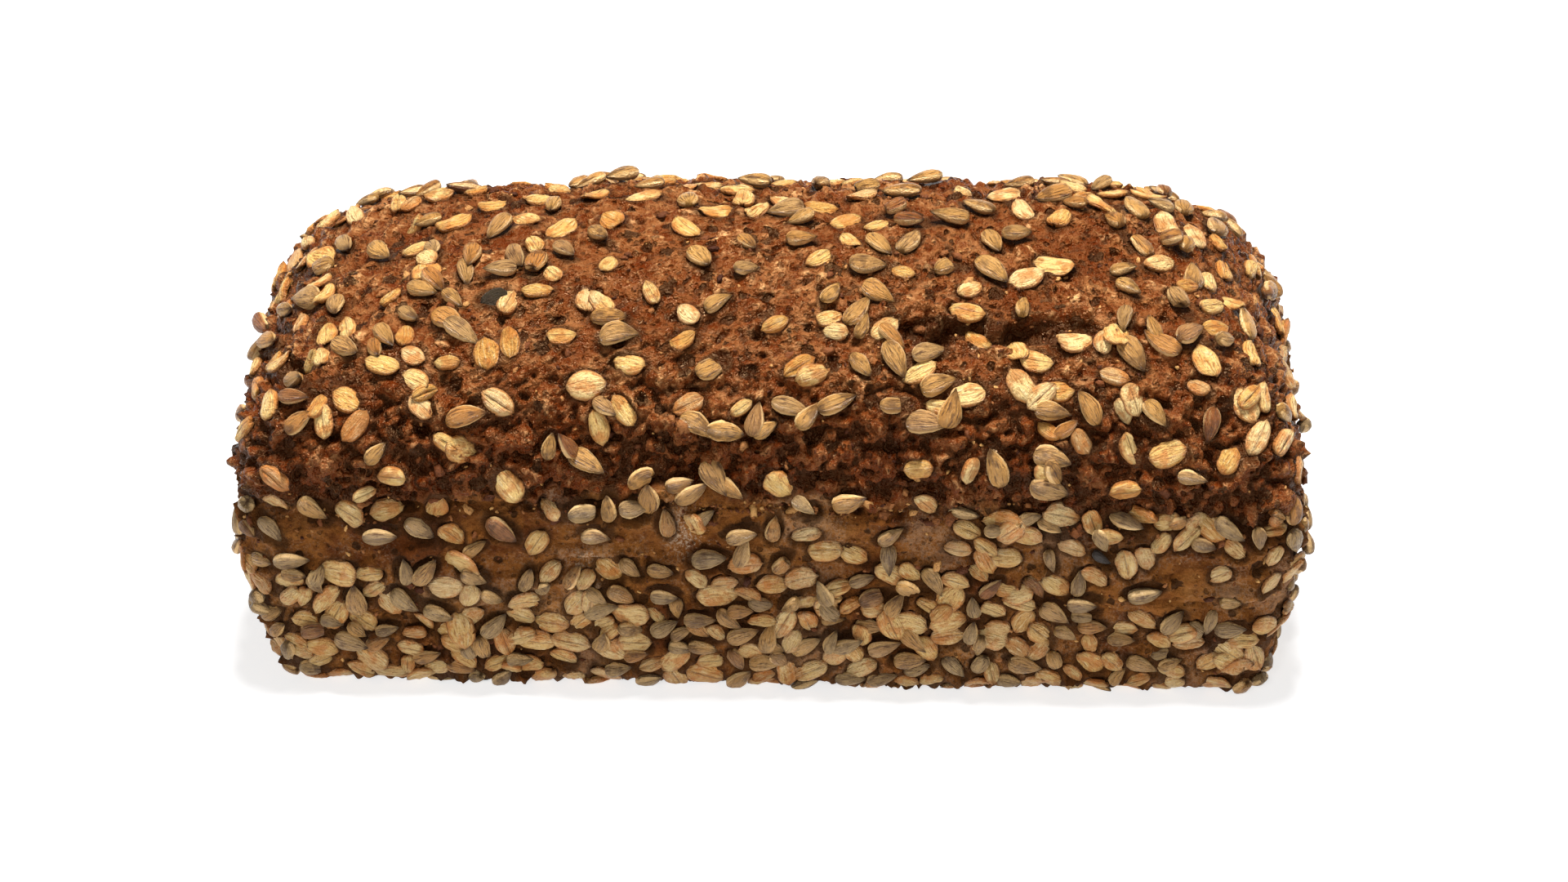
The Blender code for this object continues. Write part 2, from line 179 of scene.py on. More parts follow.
def crustPoints(u, v):
    # u in 0..1 runs round the loaf, v in 0..4 over floor, wall, lip and dome
    form = loafForm
    turn = np.mod(u, 1.0)
    stage = np.clip(np.floor(v), 0, 3)
    share = v - stage
    theta = share * math.pi / 2
    keep = np.maximum(np.cos(theta), 0) ** (2 / form["domePower"])
    lift = np.maximum(np.sin(theta), 0) ** (2 / form["domePower"])
    crown = 1 + (1 - keep) ** form["crownSpread"]
    roundness = np.select([stage == 0, stage == 1, stage == 2], [0 * v, share, 1 + 0 * v], crown)
    x1, y1 = ringShape(turn, roundness)

    fillet = form["baseFillet"]
    shoulder = form["shoulderHeight"]
    filletAngle = np.clip(share / form["filletShare"], 0, 1) * math.pi / 2
    rise = np.clip((share - form["filletShare"]) / (1 - form["filletShare"]), 0, 1)
    rim = rimAt(turn)
    wallZ = fillet * (1 - np.cos(filletAngle)) + (rim - fillet) * rise
    lipZ = rim + (shoulder - rim) * share
    domeZ = shoulder + (form["height"] - shoulder) * lift
    z = np.select([stage == 0, stage == 1, stage == 2], [0 * v, wallZ, lipZ], domeZ)

    growth = np.select([stage == 0, stage == 1], [0 * v, 1 - (1 - rise) ** form["wallBulge"]], 1)
    groove = grooveAt(turn, y1) * np.sin(math.pi * share) ** 2
    tuck = np.select([stage == 1, stage == 2], [fillet * (1 - np.sin(filletAngle)), groove], 0)
    halves = []
    for base, loaf in ((form["baseLength"], form["length"]), (form["baseWidth"], form["width"])):
        side = base / 2 + (loaf - base) / 2 * growth - tuck
        halves.append(np.where(stage == 0, (base / 2 - fillet) * share, side))

    ridgeX = form["ridgeFrom"] + (form["ridgeTo"] - form["ridgeFrom"]) * (x1 + 1) / 2
    domeX = ridgeX + (x1 * form["length"] / 2 - ridgeX) * keep
    lean = form["domeLean"] * ease((z - rim) / form["leanFade"])
    x = np.where(stage < 3, x1 * halves[0], domeX) - lean
    y = np.where(stage < 3, y1 * halves[1], y1 * form["width"] / 2 * keep)
    return np.stack([x, y, z], axis=-1)


def crustFrames(u, v):
    # points, with the outward and the level direction and the area at each
    step = 1e-4
    point = crustPoints(u, v)
    level = crustPoints(u + step, v) - crustPoints(u - step, v)
    insideStage = np.where(v - np.floor(v) > 0.5, -step, step)
    up = (crustPoints(u, v + insideStage) - point) * np.sign(insideStage)[..., None]
    out = np.cross(level, up)
    area = np.linalg.norm(out, axis=-1)
    out /= np.maximum(area, 1e-15)[..., None]
    level /= np.maximum(np.linalg.norm(level, axis=-1), 1e-15)[..., None]
    return point, out, level, area


def frameAt(turn, height):
    # one point of the crust as vectors: middle, outward and level
    point, out, level, _ = crustFrames(np.array([turn]), np.array([height]))
    return Vector(point[0]), Vector(out[0]), Vector(level[0])


def swellAt(places):
    high = ease((places[:, 2] - loafForm["rimHeight"]) / 0.012)
    swell = loafForm["swell"] * (0.25 + 0.75 * high) * softNoise(places, loafForm["swellScale"])
    return swell + loafForm["lump"] * (0.15 + 0.85 * high) * softNoise(places, loafForm["lumpScale"])


def pressedAt(places, wander=0.0):
    # how far the smooth bands stand out; their lower edges may wander
    form = loafForm
    raised = np.zeros(len(places))
    for (left, right), (low, high), depth in (form["rightBand"], form["leftBand"]):
        x, z = places[:, 0], places[:, 2]
        along = ease((x - left) / form["bandEndsFade"]) * ease((right - x) / form["bandEndsFade"])
        up = ease((z - low - wander) / form["bandFootFade"]) * ease((high - z) / form["bandEndsFade"])
        raised += depth * along * up
    return np.where(places[:, 1] > -0.4 * form["width"], 0.0, raised)


# Where the grains lie, by the same rule and the same draws as in the solid

scatter = {
    "seed": 11,
    "count": {"floor": 280, "wall": 900, "dome": 350},
    "stretch": {"floor": (0, 1), "wall": (1, 1.75), "dome": (2.75, 1.25)},  # from and span in v
    "gap": {"floor": 0.80, "wall": 0.56, "dome": 0.72},
    "flakeShare": {"floor": 0.58, "wall": 0.58, "dome": 0.56},
    "flakeLength": (0.0062, 0.0101),
    "flakeSlimness": (0.52, 0.78),
    "kernelLength": (0.0068, 0.0102),
    "kernelSlimness": (0.46, 0.60),
    "headingSpread": 0.75,
    "drawsPerGrain": 36,
    "searchCell": 0.016,
    "clumpScale": 0.021,
    "clumping": 1.1,
    "domeClumping": 0.6,
    "floorCrowding": 0.8,
    "domeCrowding": 0.56,
    "wallCrowding": 0.26,
    "lowWallCrowding": (0.95, 0.55),
    "leastCrowding": 0.03,
    "bareShoulder": (0.058, 0.016, 0.50),
    "denseBelow": 0.036,
    "denseWander": 0.005,
    "denseWanderScale": 0.030,
    "denseBelowRight": 0.0235,
    "rightFrom": 0.076,
    "bareBand": 0.0007,
    "lipRow": ((0.050, 0.117), (0.0435, 0.0545)),
    "elbowRoom": 1.1,
}


def clampCrowd(share):
    return min(1.0, max(scatter["leastCrowding"], share))


def crowding(zone, point):
    clump = noise.noise(Vector(point) / scatter["clumpScale"])
    if zone == "floor":
        return scatter["floorCrowding"]
    if zone == "dome":
        foot, fade, least = scatter["bareShoulder"]
        above = least + (1 - least) * float(ease((point[2] - foot) / fade))
        return above * clampCrowd(scatter["domeCrowding"] + scatter["domeClumping"] * clump)
    front = point[1] < 0
    (left, right), (low, high) = scatter["lipRow"]
    if front and left < point[0] < right and low < point[2] < high:
        return 1.0
    if pressedAt(point[None])[0] > scatter["bareBand"]:
        return scatter["leastCrowding"]
    wander = noise.noise(Vector((point[0], point[1], 0)) / scatter["denseWanderScale"])
    denseTop = scatter["denseBelow"] + scatter["denseWander"] * wander
    if front and point[0] > scatter["rightFrom"]:
        denseTop = scatter["denseBelowRight"]
    if point[2] < denseTop:
        middle, least = scatter["lowWallCrowding"]
        return max(least, clampCrowd(middle + clump))
    return clampCrowd(scatter["wallCrowding"] + scatter["clumping"] * clump)


def drawGrain(draw, zone):
    kind = "flake" if draw.random() < scatter["flakeShare"][zone] else "kernel"
    length = draw.uniform(*scatter[kind + "Length"])
    width = length * draw.uniform(*scatter[kind + "Slimness"])
    return {"kind": kind, "length": length, "width": width, "zone": zone}


def tooClose(grain, others, gap):
    reach = (grain["length"] - grain["width"]) / 2
    discs = [grain["middle"] + grain["heading"] * reach * end for end in (-1, 0, 1)]
    for other in others:
        limit = (grain["width"] + other["width"]) / 2 * gap
        if (other["middle"] - grain["middle"]).length > reach + other["reach"] + limit:
            continue
        if any((a - b).length < limit for a in discs for b in other["discs"]):
            return True
    grain["discs"] = discs
    grain["reach"] = reach
    return False


def neighbours(taken, key):
    steps = (-1, 0, 1)
    around = [(key[0] + x, key[1] + y, key[2] + z) for x in steps for y in steps for z in steps]
    return [grain for cell in around for grain in taken.get(cell, ())]


def scatterGrains():
    draw = random.Random(scatter["seed"])
    taken = {}
    found = []
    for zone, count in scatter["count"].items():
        tries = count * scatter["drawsPerGrain"]
        u = np.array([draw.random() for _ in range(tries)])
        share = np.array([draw.random() for _ in range(tries)])
        foot, span = scatter["stretch"][zone]
        v = foot + span * share
        point, out, level, area = crustFrames(u, v)
        kept = 0
        for at, outward, sideways, shareOfArea in zip(point, out, level, area / area.max()):
            chance = draw.random()
            spin = draw.gauss(0, scatter["headingSpread"])
            grain = drawGrain(draw, zone)
            crowd = crowding(zone, at)
            if kept >= count or chance > shareOfArea * crowd:
                continue
            grain["crowd"] = crowd
            grain["middle"] = Vector(at)
            grain["out"] = Vector(outward)
            grain["heading"] = Matrix.Rotation(spin, 3, Vector(outward)) @ Vector(sideways)
            key = tuple(math.floor(c / scatter["searchCell"]) for c in at)
            gap = scatter["gap"][zone] * (1 + scatter["elbowRoom"] * (1 - crowd) ** 2)
            if tooClose(grain, neighbours(taken, key), gap):
                continue
            taken.setdefault(key, []).append(grain)
            found.append(grain)
            kept += 1
    return found


grains = scatterGrains()
print("scattered", len(grains), "grains")


# The crust, as one grid rolled round the loaf and cut in three at the rim and the ends

crustLook = {
    "round": 1240,
    "rows": {"floor": 8, "fillet": 5, "wall": 50, "lip": 9, "dome": 128},
    # height of each relief, the size of its lumps, octaves and where its noise starts
    "crags": (0.0052, 0.0080, 3, (7.0, 1.0, 3.0)),
    "crumb": (0.0036, 0.0034, 2, (2.0, 8.0, 5.0)),
    "wallGrit": (0.0017, 0.0044, 3, (9.0, 2.0, 2.0)),
    "lumpMiddle": 0.47,
    "calmCrags": 0.50,  # share of the crags away from the shoulder
    "calmCrumb": 0.50,
    "ledge": (0.0014, 0.022, 4.5),
    "ledgeFrom": (0.06, 0.05),
    "topEdge": (0.0035, 0.0032, 0.0040),  # over the rim, its wander, and the wander's size
    "edgeSwing": (0.0018, 0.017),
    "edgeFade": 0.0030,
    "frontFade": 0.045,
    "shoulderBand": (0.086, 0.018, 0.35),  # its upper edge, the fade there, and its share behind
    "bandWander": (0.0030, 0.010),
    "pits": {"top": 620, "shoulder": 420, "wall": 260},
    "pitRows": {"top": (3.0, 3.94), "shoulder": (2.3, 3.30), "wall": (1.2, 2.2)},
    "pitRadius": {"top": (0.0006, 0.0017), "shoulder": (0.0007, 0.0019), "wall": (0.0005, 0.0012)},
    "pitDepth": (0.7, 1.5),
    "pitMouth": 1.4,
    "pitShade": 0.9,
    "pitSeed": 23,
    "raggedPit": (0.4, 0.0014),  # how much the edge wanders, and over what length
    "raggedHollow": (0.35, 0.0030),
    "hollowEdge": (1.25, 0.4),  # how far its shade reaches, in half sizes, and the fade
    "tornLip": (0.0016, 0.65),  # height and width of the torn edge above the dip
    "dent": 0.0004,
    "swollenEdge": {"floor": 0.0, "wall": 0.00045, "dome": 0.00025},
    # how far a grain's touch reaches: share of its length, then in half sizes with the fade
    "grainReach": 0.72,
    # the crust round a grain is painted darker as shade out to this many half sizes
    "grainShadeEdge": 1.40,
    "flatEdge": 1.25,
    "grainFade": 0.35,
    "calmUnderGrain": 0.85,
    "cavityDepth": 0.0016,
    "lipShadeDepth": 0.0024,
    "lipShadeRows": (1.97, 2.6),
    "raisedHeight": 0.0007,
    # place round, place up and radius of each
    "flourPatches": (
        (0.727, 1.885, 0.011), (0.690, 1.70, 0.007), (0.300, 1.80, 0.013), (0.47, 1.7, 0.010),
    ),
}


def crustStations():
    rows = crustLook["rows"]
    fillet = loafForm["filletShare"]
    stations = list(np.linspace(0.02, 1, rows["floor"] + 1))
    stations += list(1 + np.linspace(0, fillet, rows["fillet"] + 1)[1:])
    stations += list(np.linspace(1 + fillet, 2, rows["wall"] + 1)[1:-1])
    atRim = len(stations)
    stations += list(2 + np.linspace(0, 1, rows["lip"] + 1))
    stations += list(3 + np.linspace(0, 1, rows["dome"] + 1)[1:-1])
    return np.array(stations), atRim


def hollowOut(tree, pressed, shade):
    # the burst bubble, the torn dip and the larger pores, with ragged edges
    reach, shadeFade = crustLook["hollowEdge"]
    lipHeight, lipWidth = crustLook["tornLip"]
    uneven, unevenSize = crustLook["raggedHollow"]
    for name in hollowNames:
        turn, height, (halfLevel, halfUp, halfIn) = loafForm[name]
        middle, outward, sideways = frameAt(turn, height)
        upward = outward.cross(sideways)
        for place, number, _ in tree.find_range(middle, 1.5 * max(halfLevel, halfUp)):
            gap = place - middle
            ragged = 1 + uneven * noise.noise(place / unevenSize)
            away = math.hypot(gap.dot(sideways) / halfLevel, gap.dot(upward) / halfUp) / ragged
            if away < reach:
                deep = math.sqrt(max(0.0, 1 - min(away, 1) ** 2))
                pressed[number] = min(pressed[number], -halfIn * deep)
                shade[number] = max(shade[number], float(ease((reach - away) / shadeFade)))
            elif name.startswith("torn") and gap.dot(upward) > 0 and away < reach + lipWidth:
                lip = lipHeight * math.sin(math.pi * (away - reach) / lipWidth)
                pressed[number] = max(pressed[number], lip)


def pitTheCrust(tree, pressed, shade):
    draw = random.Random(crustLook["pitSeed"])
    mouth = crustLook["pitMouth"]
    uneven, unevenSize = crustLook["raggedPit"]
    for zone, count in crustLook["pits"].items():
        for _ in range(count):
            radius = draw.uniform(*crustLook["pitRadius"][zone])
            height = draw.uniform(*crustLook["pitRows"][zone])
            middle = Vector(crustPoints(np.array([draw.random()]), np.array([height]))[0])
            depth = radius * draw.uniform(*crustLook["pitDepth"])
            narrow = draw.uniform(0.6, 1.0)
            for place, number, _ in tree.find_range(middle, radius * mouth):
                gap = place - middle
                ragged = 1 + uneven * noise.noise(place / unevenSize)
                away = math.hypot(gap.x, gap.y, gap.z / narrow) / (radius * mouth * ragged)
                deep = 1 - float(ease(away))
                pressed[number] = min(pressed[number], -depth * deep)
                shade[number] = max(shade[number], deep * crustLook["pitShade"])


def settleUnderGrains(tree, pressed, contact, flat):
    # the dough gives way under each grain and rises round it; the crust round it is marked for painted
    # shade
    look = crustLook
    for grain in grains:
        side = grain["out"].cross(grain["heading"])
        swollen = look["swollenEdge"][grain["zone"]]
        for place, number, _ in tree.find_range(grain["middle"], grain["length"] * look["grainReach"]):
            gap = place - grain["middle"]
            along = gap.dot(grain["heading"]) / (grain["length"] / 2)
            across = gap.dot(side) / (grain["width"] / 2)
            away = math.hypot(along, across)
            if away < 1.0:
                pressed[number] -= look["dent"] * (1 - away**4)
            elif away < 1.5:
                pressed[number] += swollen * math.sin(math.pi * (away - 1) / 0.5)
            # the painted shade round the grain, and where its crust is calmed
            for mask, edge in ((contact, look["grainShadeEdge"]), (flat, look["flatEdge"])):
                mask[number] = max(mask[number], float(ease((edge - away) / look["grainFade"])))


def dustTheCrust(tree, dust):
    for turn, row, radius in crustLook["flourPatches"]:
        for _, number, away in tree.find_range(frameAt(turn, row)[0], radius):
            dust[number] = max(dust[number], float(ease((radius - away) / (radius * 0.7))))


def lumps(point, name):
    height, size, octaves, start = crustLook[name]
    return height * (lumpNoise(point, size, octaves, start) - crustLook["lumpMiddle"])


def roughenCrust(point, u):
    # crags and crumb on the top, grit and ledges on the walls, and where top and shoulder are
    look = crustLook
    over, wander, wanderSize = look["topEdge"]
    swing, swingSize = look["edgeSwing"]
    edge = over + wander * softNoise(point * [1, 1, 0.4], wanderSize, (4.0, 2.0, 0.0))
    edge = edge + swing * softNoise(point, swingSize, (1.0, 0.0, 5.0))
    top = ease((point[:, 2] - rimAt(np.mod(u, 1.0)) - edge) / look["edgeFade"])
    highest, fadeUp, behind = look["shoulderBand"]
    front = ease(-point[:, 1] / look["frontFade"])
    band = top * ease((highest - point[:, 2]) / fadeUp) * (behind + (1 - behind) * front)
    calmCrags, calmCrumb = look["calmCrags"], look["calmCrumb"]
    rough = top * (calmCrags + (1 - calmCrags) * band) * lumps(point, "crags")
    rough += top * (calmCrumb + (1 - calmCrumb) * band) * lumps(point, "crumb")
    rough += (1 - top) * lumps(point, "wallGrit")
    height, size, squash = look["ledge"]
    least, fadeIn = look["ledgeFrom"]
    ledge = softNoise(point * [1, 1, squash], size, (1.0, 3.0, 6.0))
    rough += height * (1 - top) * ease((ledge - least) / fadeIn)
    return rough, top, front, band


def crustFaces(around, levels, atRim):
    # quads row by row, a ridge that closes the top, and a small disc in the middle of the base
    k = np.arange(around)
    after = (k + 1) % around
    rows = [
        np.stack([low + k, low + after, low + around + after, low + around + k], axis=-1)
        for low in np.arange(levels - 1) * around
    ]
    last, fold = (levels - 1) * around, levels * around
    foldUp, foldNext = (fold + np.minimum(way, around - way) for way in (k, after))
    ridge = np.stack([last + k, last + after, foldNext, foldUp], axis=-1).tolist()
    ridge = [face if face[2] != face[3] else face[:3] for face in ridge]
    half = around // 2
    back = np.concatenate([row[:half] for row in rows[atRim:]]).tolist()
    front = np.concatenate([row[half:] for row in rows[atRim:]]).tolist()
    return {
        "crustSides": np.concatenate(rows[:atRim]).tolist() + [list(k[::-1])],
        "crustTopBack": back + ridge[:half],
        "crustTopFront": front + ridge[half:],
    }


def buildCrust():
    look = crustLook
    stations, atRim = crustStations()
    around = look["round"]
    u, v = np.meshgrid(np.arange(around) / around, stations)
    u = np.append(u.ravel(), np.arange(around // 2 + 1) / around)  # the ridge is one open row
    v = np.append(v.ravel(), np.full(around // 2 + 1, 4.0))
    point, out, _, _ = crustFrames(u, v)
    onFloor = v < 1.0
    out[v == 4.0] = (0, 0, 1)
    out[onFloor] = (0, 0, -1)

    rough, top, front, band = roughenCrust(point, u)
    wander, wanderSize = look["bandWander"]
    smooth = pressedAt(point, wander * softNoise(point * [1, 1, 0.2], wanderSize))
    rise = swellAt(point) + smooth
    tree = KDTree(len(point))
    for number, place in enumerate(point):
        tree.insert(place, number)
    tree.balance()
    pressed, shade, contact, flat, dust = np.zeros((5, len(point)))
    pitTheCrust(tree, pressed, shade)
    hollowOut(tree, pressed, shade)
    settleUnderGrains(tree, pressed, contact, flat)
    dustTheCrust(tree, dust)
    rough = rough * (1 - look["calmUnderGrain"] * flat)

    lifted = rise + rough + pressed
    lifted[onFloor] = -np.abs(rough[onFloor] + pressed[onFloor]) * np.clip(1 - v[onFloor], 0, 1)
    place = point + out * lifted[:, None]
    place[:, 2] = np.maximum(place[:, 2], 0.0)

    # the groove under the lip lies in its shade, so it joins the hollows that are painted darker as
    # shade
    groove = grooveAt(np.mod(u, 1.0), -front) / look["lipShadeDepth"]
    low, high = look["lipShadeRows"]
    underLip = np.where((v > low) & (v < high), groove, 0.0)
    hollowed = np.clip(-(rough + np.minimum(pressed, 0)) / look["cavityDepth"], 0, 1)
    masks = {
        # where the crust is painted darker as shade: hollows, pits and the groove under the lip
        "cavity": np.maximum(np.maximum(hollowed, shade), underLip),
        "raised": np.clip((rough + rise * 0.25) / look["raisedHeight"], 0, 1),
        "contact": contact,
        "top": top,
        "band": band,
        "dust": dust,
    }
    cuts = crustFaces(around, len(stations), atRim)
    return [cutPiece(name, place, faces, masks) for name, faces in cuts.items()]


def cutPiece(name, place, faces, masks):
    used = sorted({corner for face in faces for corner in face})
    fresh = {old: new for new, old in enumerate(used)}
    faces = [[fresh[corner] for corner in face] for face in faces]
    return meshObject(name, place[used], faces, {label: mask[used] for label, mask in masks.items()})


def meshObject(name, places, faces, values):
    mesh = bpy.data.meshes.new(name)
    mesh.from_pydata(places.tolist(), [], faces)
    for label, data in values.items():
        full = np.ascontiguousarray(data, dtype=np.float32)
        mesh.attributes.new(label, "FLOAT", "POINT").data.foreach_set("value", full)
    mesh.shade_smooth()
    thing = bpy.data.objects.new(name, mesh)
    bpy.context.scene.collection.objects.link(thing)
    return thing


crustPieces = buildCrust()
print("made the crust", [len(piece.data.polygons) for piece in crustPieces], "faces")


def treeOf(pieces):
    corners, faces = [], []
    for piece in pieces:
        first = len(corners)
        corners += [vert.co for vert in piece.data.vertices]
        faces += [[first + corner for corner in face.vertices] for face in piece.data.polygons]
    return BVHTree.FromPolygons(corners, faces)


crustTree = treeOf(crustPieces)


# Seating the grains on the crust, and a second layer that overlaps the first

seating = {
    "thickness": {"oat": (0.0017, 0.0023), "wheat": (0.0013, 0.0018), "kernel": (0.0028, 0.0038)},
    # how high a grain's rim lies over the crust, as a share of its thickness
    "raised": {
        "floor": (-0.75, -0.55), "wall": (-0.10, 0.75), "dome": (0.04, 0.40), "rider": (0.0, 0.15),
    },
    "foot": (0.004, 0.010),  # no grain stands off below this height, and the fade above it
    "tilt": {"floor": 0.02, "wall": 0.15, "dome": 0.14},
    "wallKernel": 0.86,  # the kernels on the walls are smaller than those on the top
    "slimOat": 0.65,  # flakes slimmer than this are oats, the rounder ones wheat
    "riders": {"wall": 120, "dome": 80},
    "riderCrowd": 0.30,
    "riderHeights": (0.007, 0.006, 0.094),  # lowest base, lowest rider, highest base
    "riderAside": (0.38, 0.62),
    "reachAbove": 0.009,
    "feelers": 0.34,  # share of a grain's length and width at which it feels for the crust
    "oddSize": 0.8,
    "seed": 31,
}


def seatGrain(grain, tree, draw, raisedKind):
    out, heading = grain["out"], grain["heading"]
    side = out.cross(heading)
    if grain["kind"] == "kernel" and grain["zone"] == "wall":
        grain["length"] *= seating["wallKernel"]
        grain["width"] *= seating["wallKernel"]
    reach = [heading * grain["length"] * seating["feelers"], side * grain["width"] * seating["feelers"]]
    hits = []
    for step in (Vector(), reach[0], -reach[0], reach[1], -reach[1]):
        start = grain["middle"] + step + out * seating["reachAbove"]
        hits.append(tree.ray_cast(start, -out, 2 * seating["reachAbove"])[0] or grain["middle"] + step)
    along = (hits[1] - hits[2]).normalized()
    across = (hits[3] - hits[4]).normalized()
    up = along.cross(across).normalized()
    tilt = seating["tilt"][grain["zone"]]
    up = (up + along * draw.gauss(0, tilt) + across * draw.gauss(0, tilt)).normalized()
    along = (along - up * along.dot(up)).normalized()
    if grain["kind"] == "flake":
        grain["kind"] = "oat" if grain["width"] / grain["length"] < seating["slimOat"] else "wheat"
    grain["thickness"] = draw.uniform(*seating["thickness"][grain["kind"]])
    raised = draw.uniform(*seating["raised"][raisedKind]) * grain["thickness"]
    foot, fadeUp = seating["foot"]
    raised *= min(1.0, max(0.1, (grain["middle"].z - foot) / fadeUp))
    grain["turn"] = Matrix((along, up.cross(along), up)).transposed()
    grain["at"] = sum(hits, Vector()) / len(hits) + up * raised
    grain["tone"] = draw.random()
    grain["seed"] = draw.random()
    grain["odd"] = 0.0


seatDraw = random.Random(seating["seed"])
for grain in grains:
    seatGrain(grain, crustTree, seatDraw, grain["zone"])


def markOdd(kinds, spot):
    near = [grain for grain in grains if grain["kind"] in kinds]
    chosen = min(near, key=lambda grain: (grain["middle"] - Vector(spot)).length)
    chosen["odd"] = 1.0
    chosen["length"] *= seating["oddSize"]
    chosen["width"] *= seating["oddSize"]


markOdd(("kernel",), (0.0835, -0.0545, 0.039))  # one kernel is dark and bluish grey
markOdd(("oat", "wheat"), (-0.061, -0.027, 0.0895))  # one scrap is burnt almost black


def grainTable(chosen):
    table = {
        "at": np.array([grain["at"] for grain in chosen]),
        "turn": np.array([grain["turn"] for grain in chosen]),
        "wall": np.array([float(grain["zone"] != "dome") for grain in chosen]),
    }
    for name in ("length", "width", "thickness", "tone", "seed", "odd"):
        table[name] = np.array([grain[name] for grain in chosen])
    return table


def grainSizes(table):
    return [table[name][:, None, None] for name in ("length", "width", "thickness")]


def grainValues(table, along, across):
    # what the materials read at each corner
    values = {name: table[name][:, None] for name in ("tone", "seed", "wall", "odd")}
    values.update({"along": np.array(along)[None], "across": np.array(across)[None]})
    return values


def placed(local, table):
    # from each grain's own frame to the loaf's
    world = np.einsum("gij,gpj->gpi", table["turn"], local) + table["at"][:, None, :]
    world[:, :, 2] = np.maximum(world[:, :, 2], 0.0)
    return world


def copiesObject(name, world, faces, values):
    count, each = world.shape[:2]
    steps = (np.arange(count) * each)[:, None]
    allFaces = []
    for size in (3, 4):
        same = np.array([face for face in faces if len(face) == size])
        if len(same):
            allFaces += (same[None] + steps[:, :, None]).reshape(-1, size).tolist()
    full = {label: np.broadcast_to(data, (count, each)).ravel() for label, data in values.items()}
    return meshObject(name, world.reshape(-1, 3), allFaces, full)


# Cereal flakes: rolled oats are slim and plump with a deep crease, wheat is rounder and flatter

oatLook = {
    "columns": 11,
    "rows": (-1.0, -0.80, -0.40, -0.12, 0.0, 0.12, 0.40, 0.80, 1.0),
    "point": (2.0, 2.5),  # lower is more pointed
    "blunt": (0.08, 0.22),
    "creased": 0.62,
    "creaseDepth": (0.20, 0.50),
    "creaseWidth": 0.11,
    "wavyEdge": 0.035,
    "frayed": 0.30,
    "fray": 0.07,
    "curl": (-0.03, 0.06),
    "seed": 41,
    "plump": 0.62,  # share of the thickness that stands above the rim
}
wheatLook = {
    "columns": 10,
    "rows": (-1.0, -0.78, -0.35, 0.0, 0.35, 0.78, 1.0),
    "point": (2.2, 3.0),
    "blunt": (0.16, 0.34),
    "creased": 0.30,
    "creaseDepth": (0.10, 0.32),
    "creaseWidth": 0.16,
    "wavyEdge": 0.040,
    "frayed": 0.22,
    "fray": 0.07,
    "curl": (-0.05, 0.09),
    "seed": 43,
    "plump": 0.62,
}


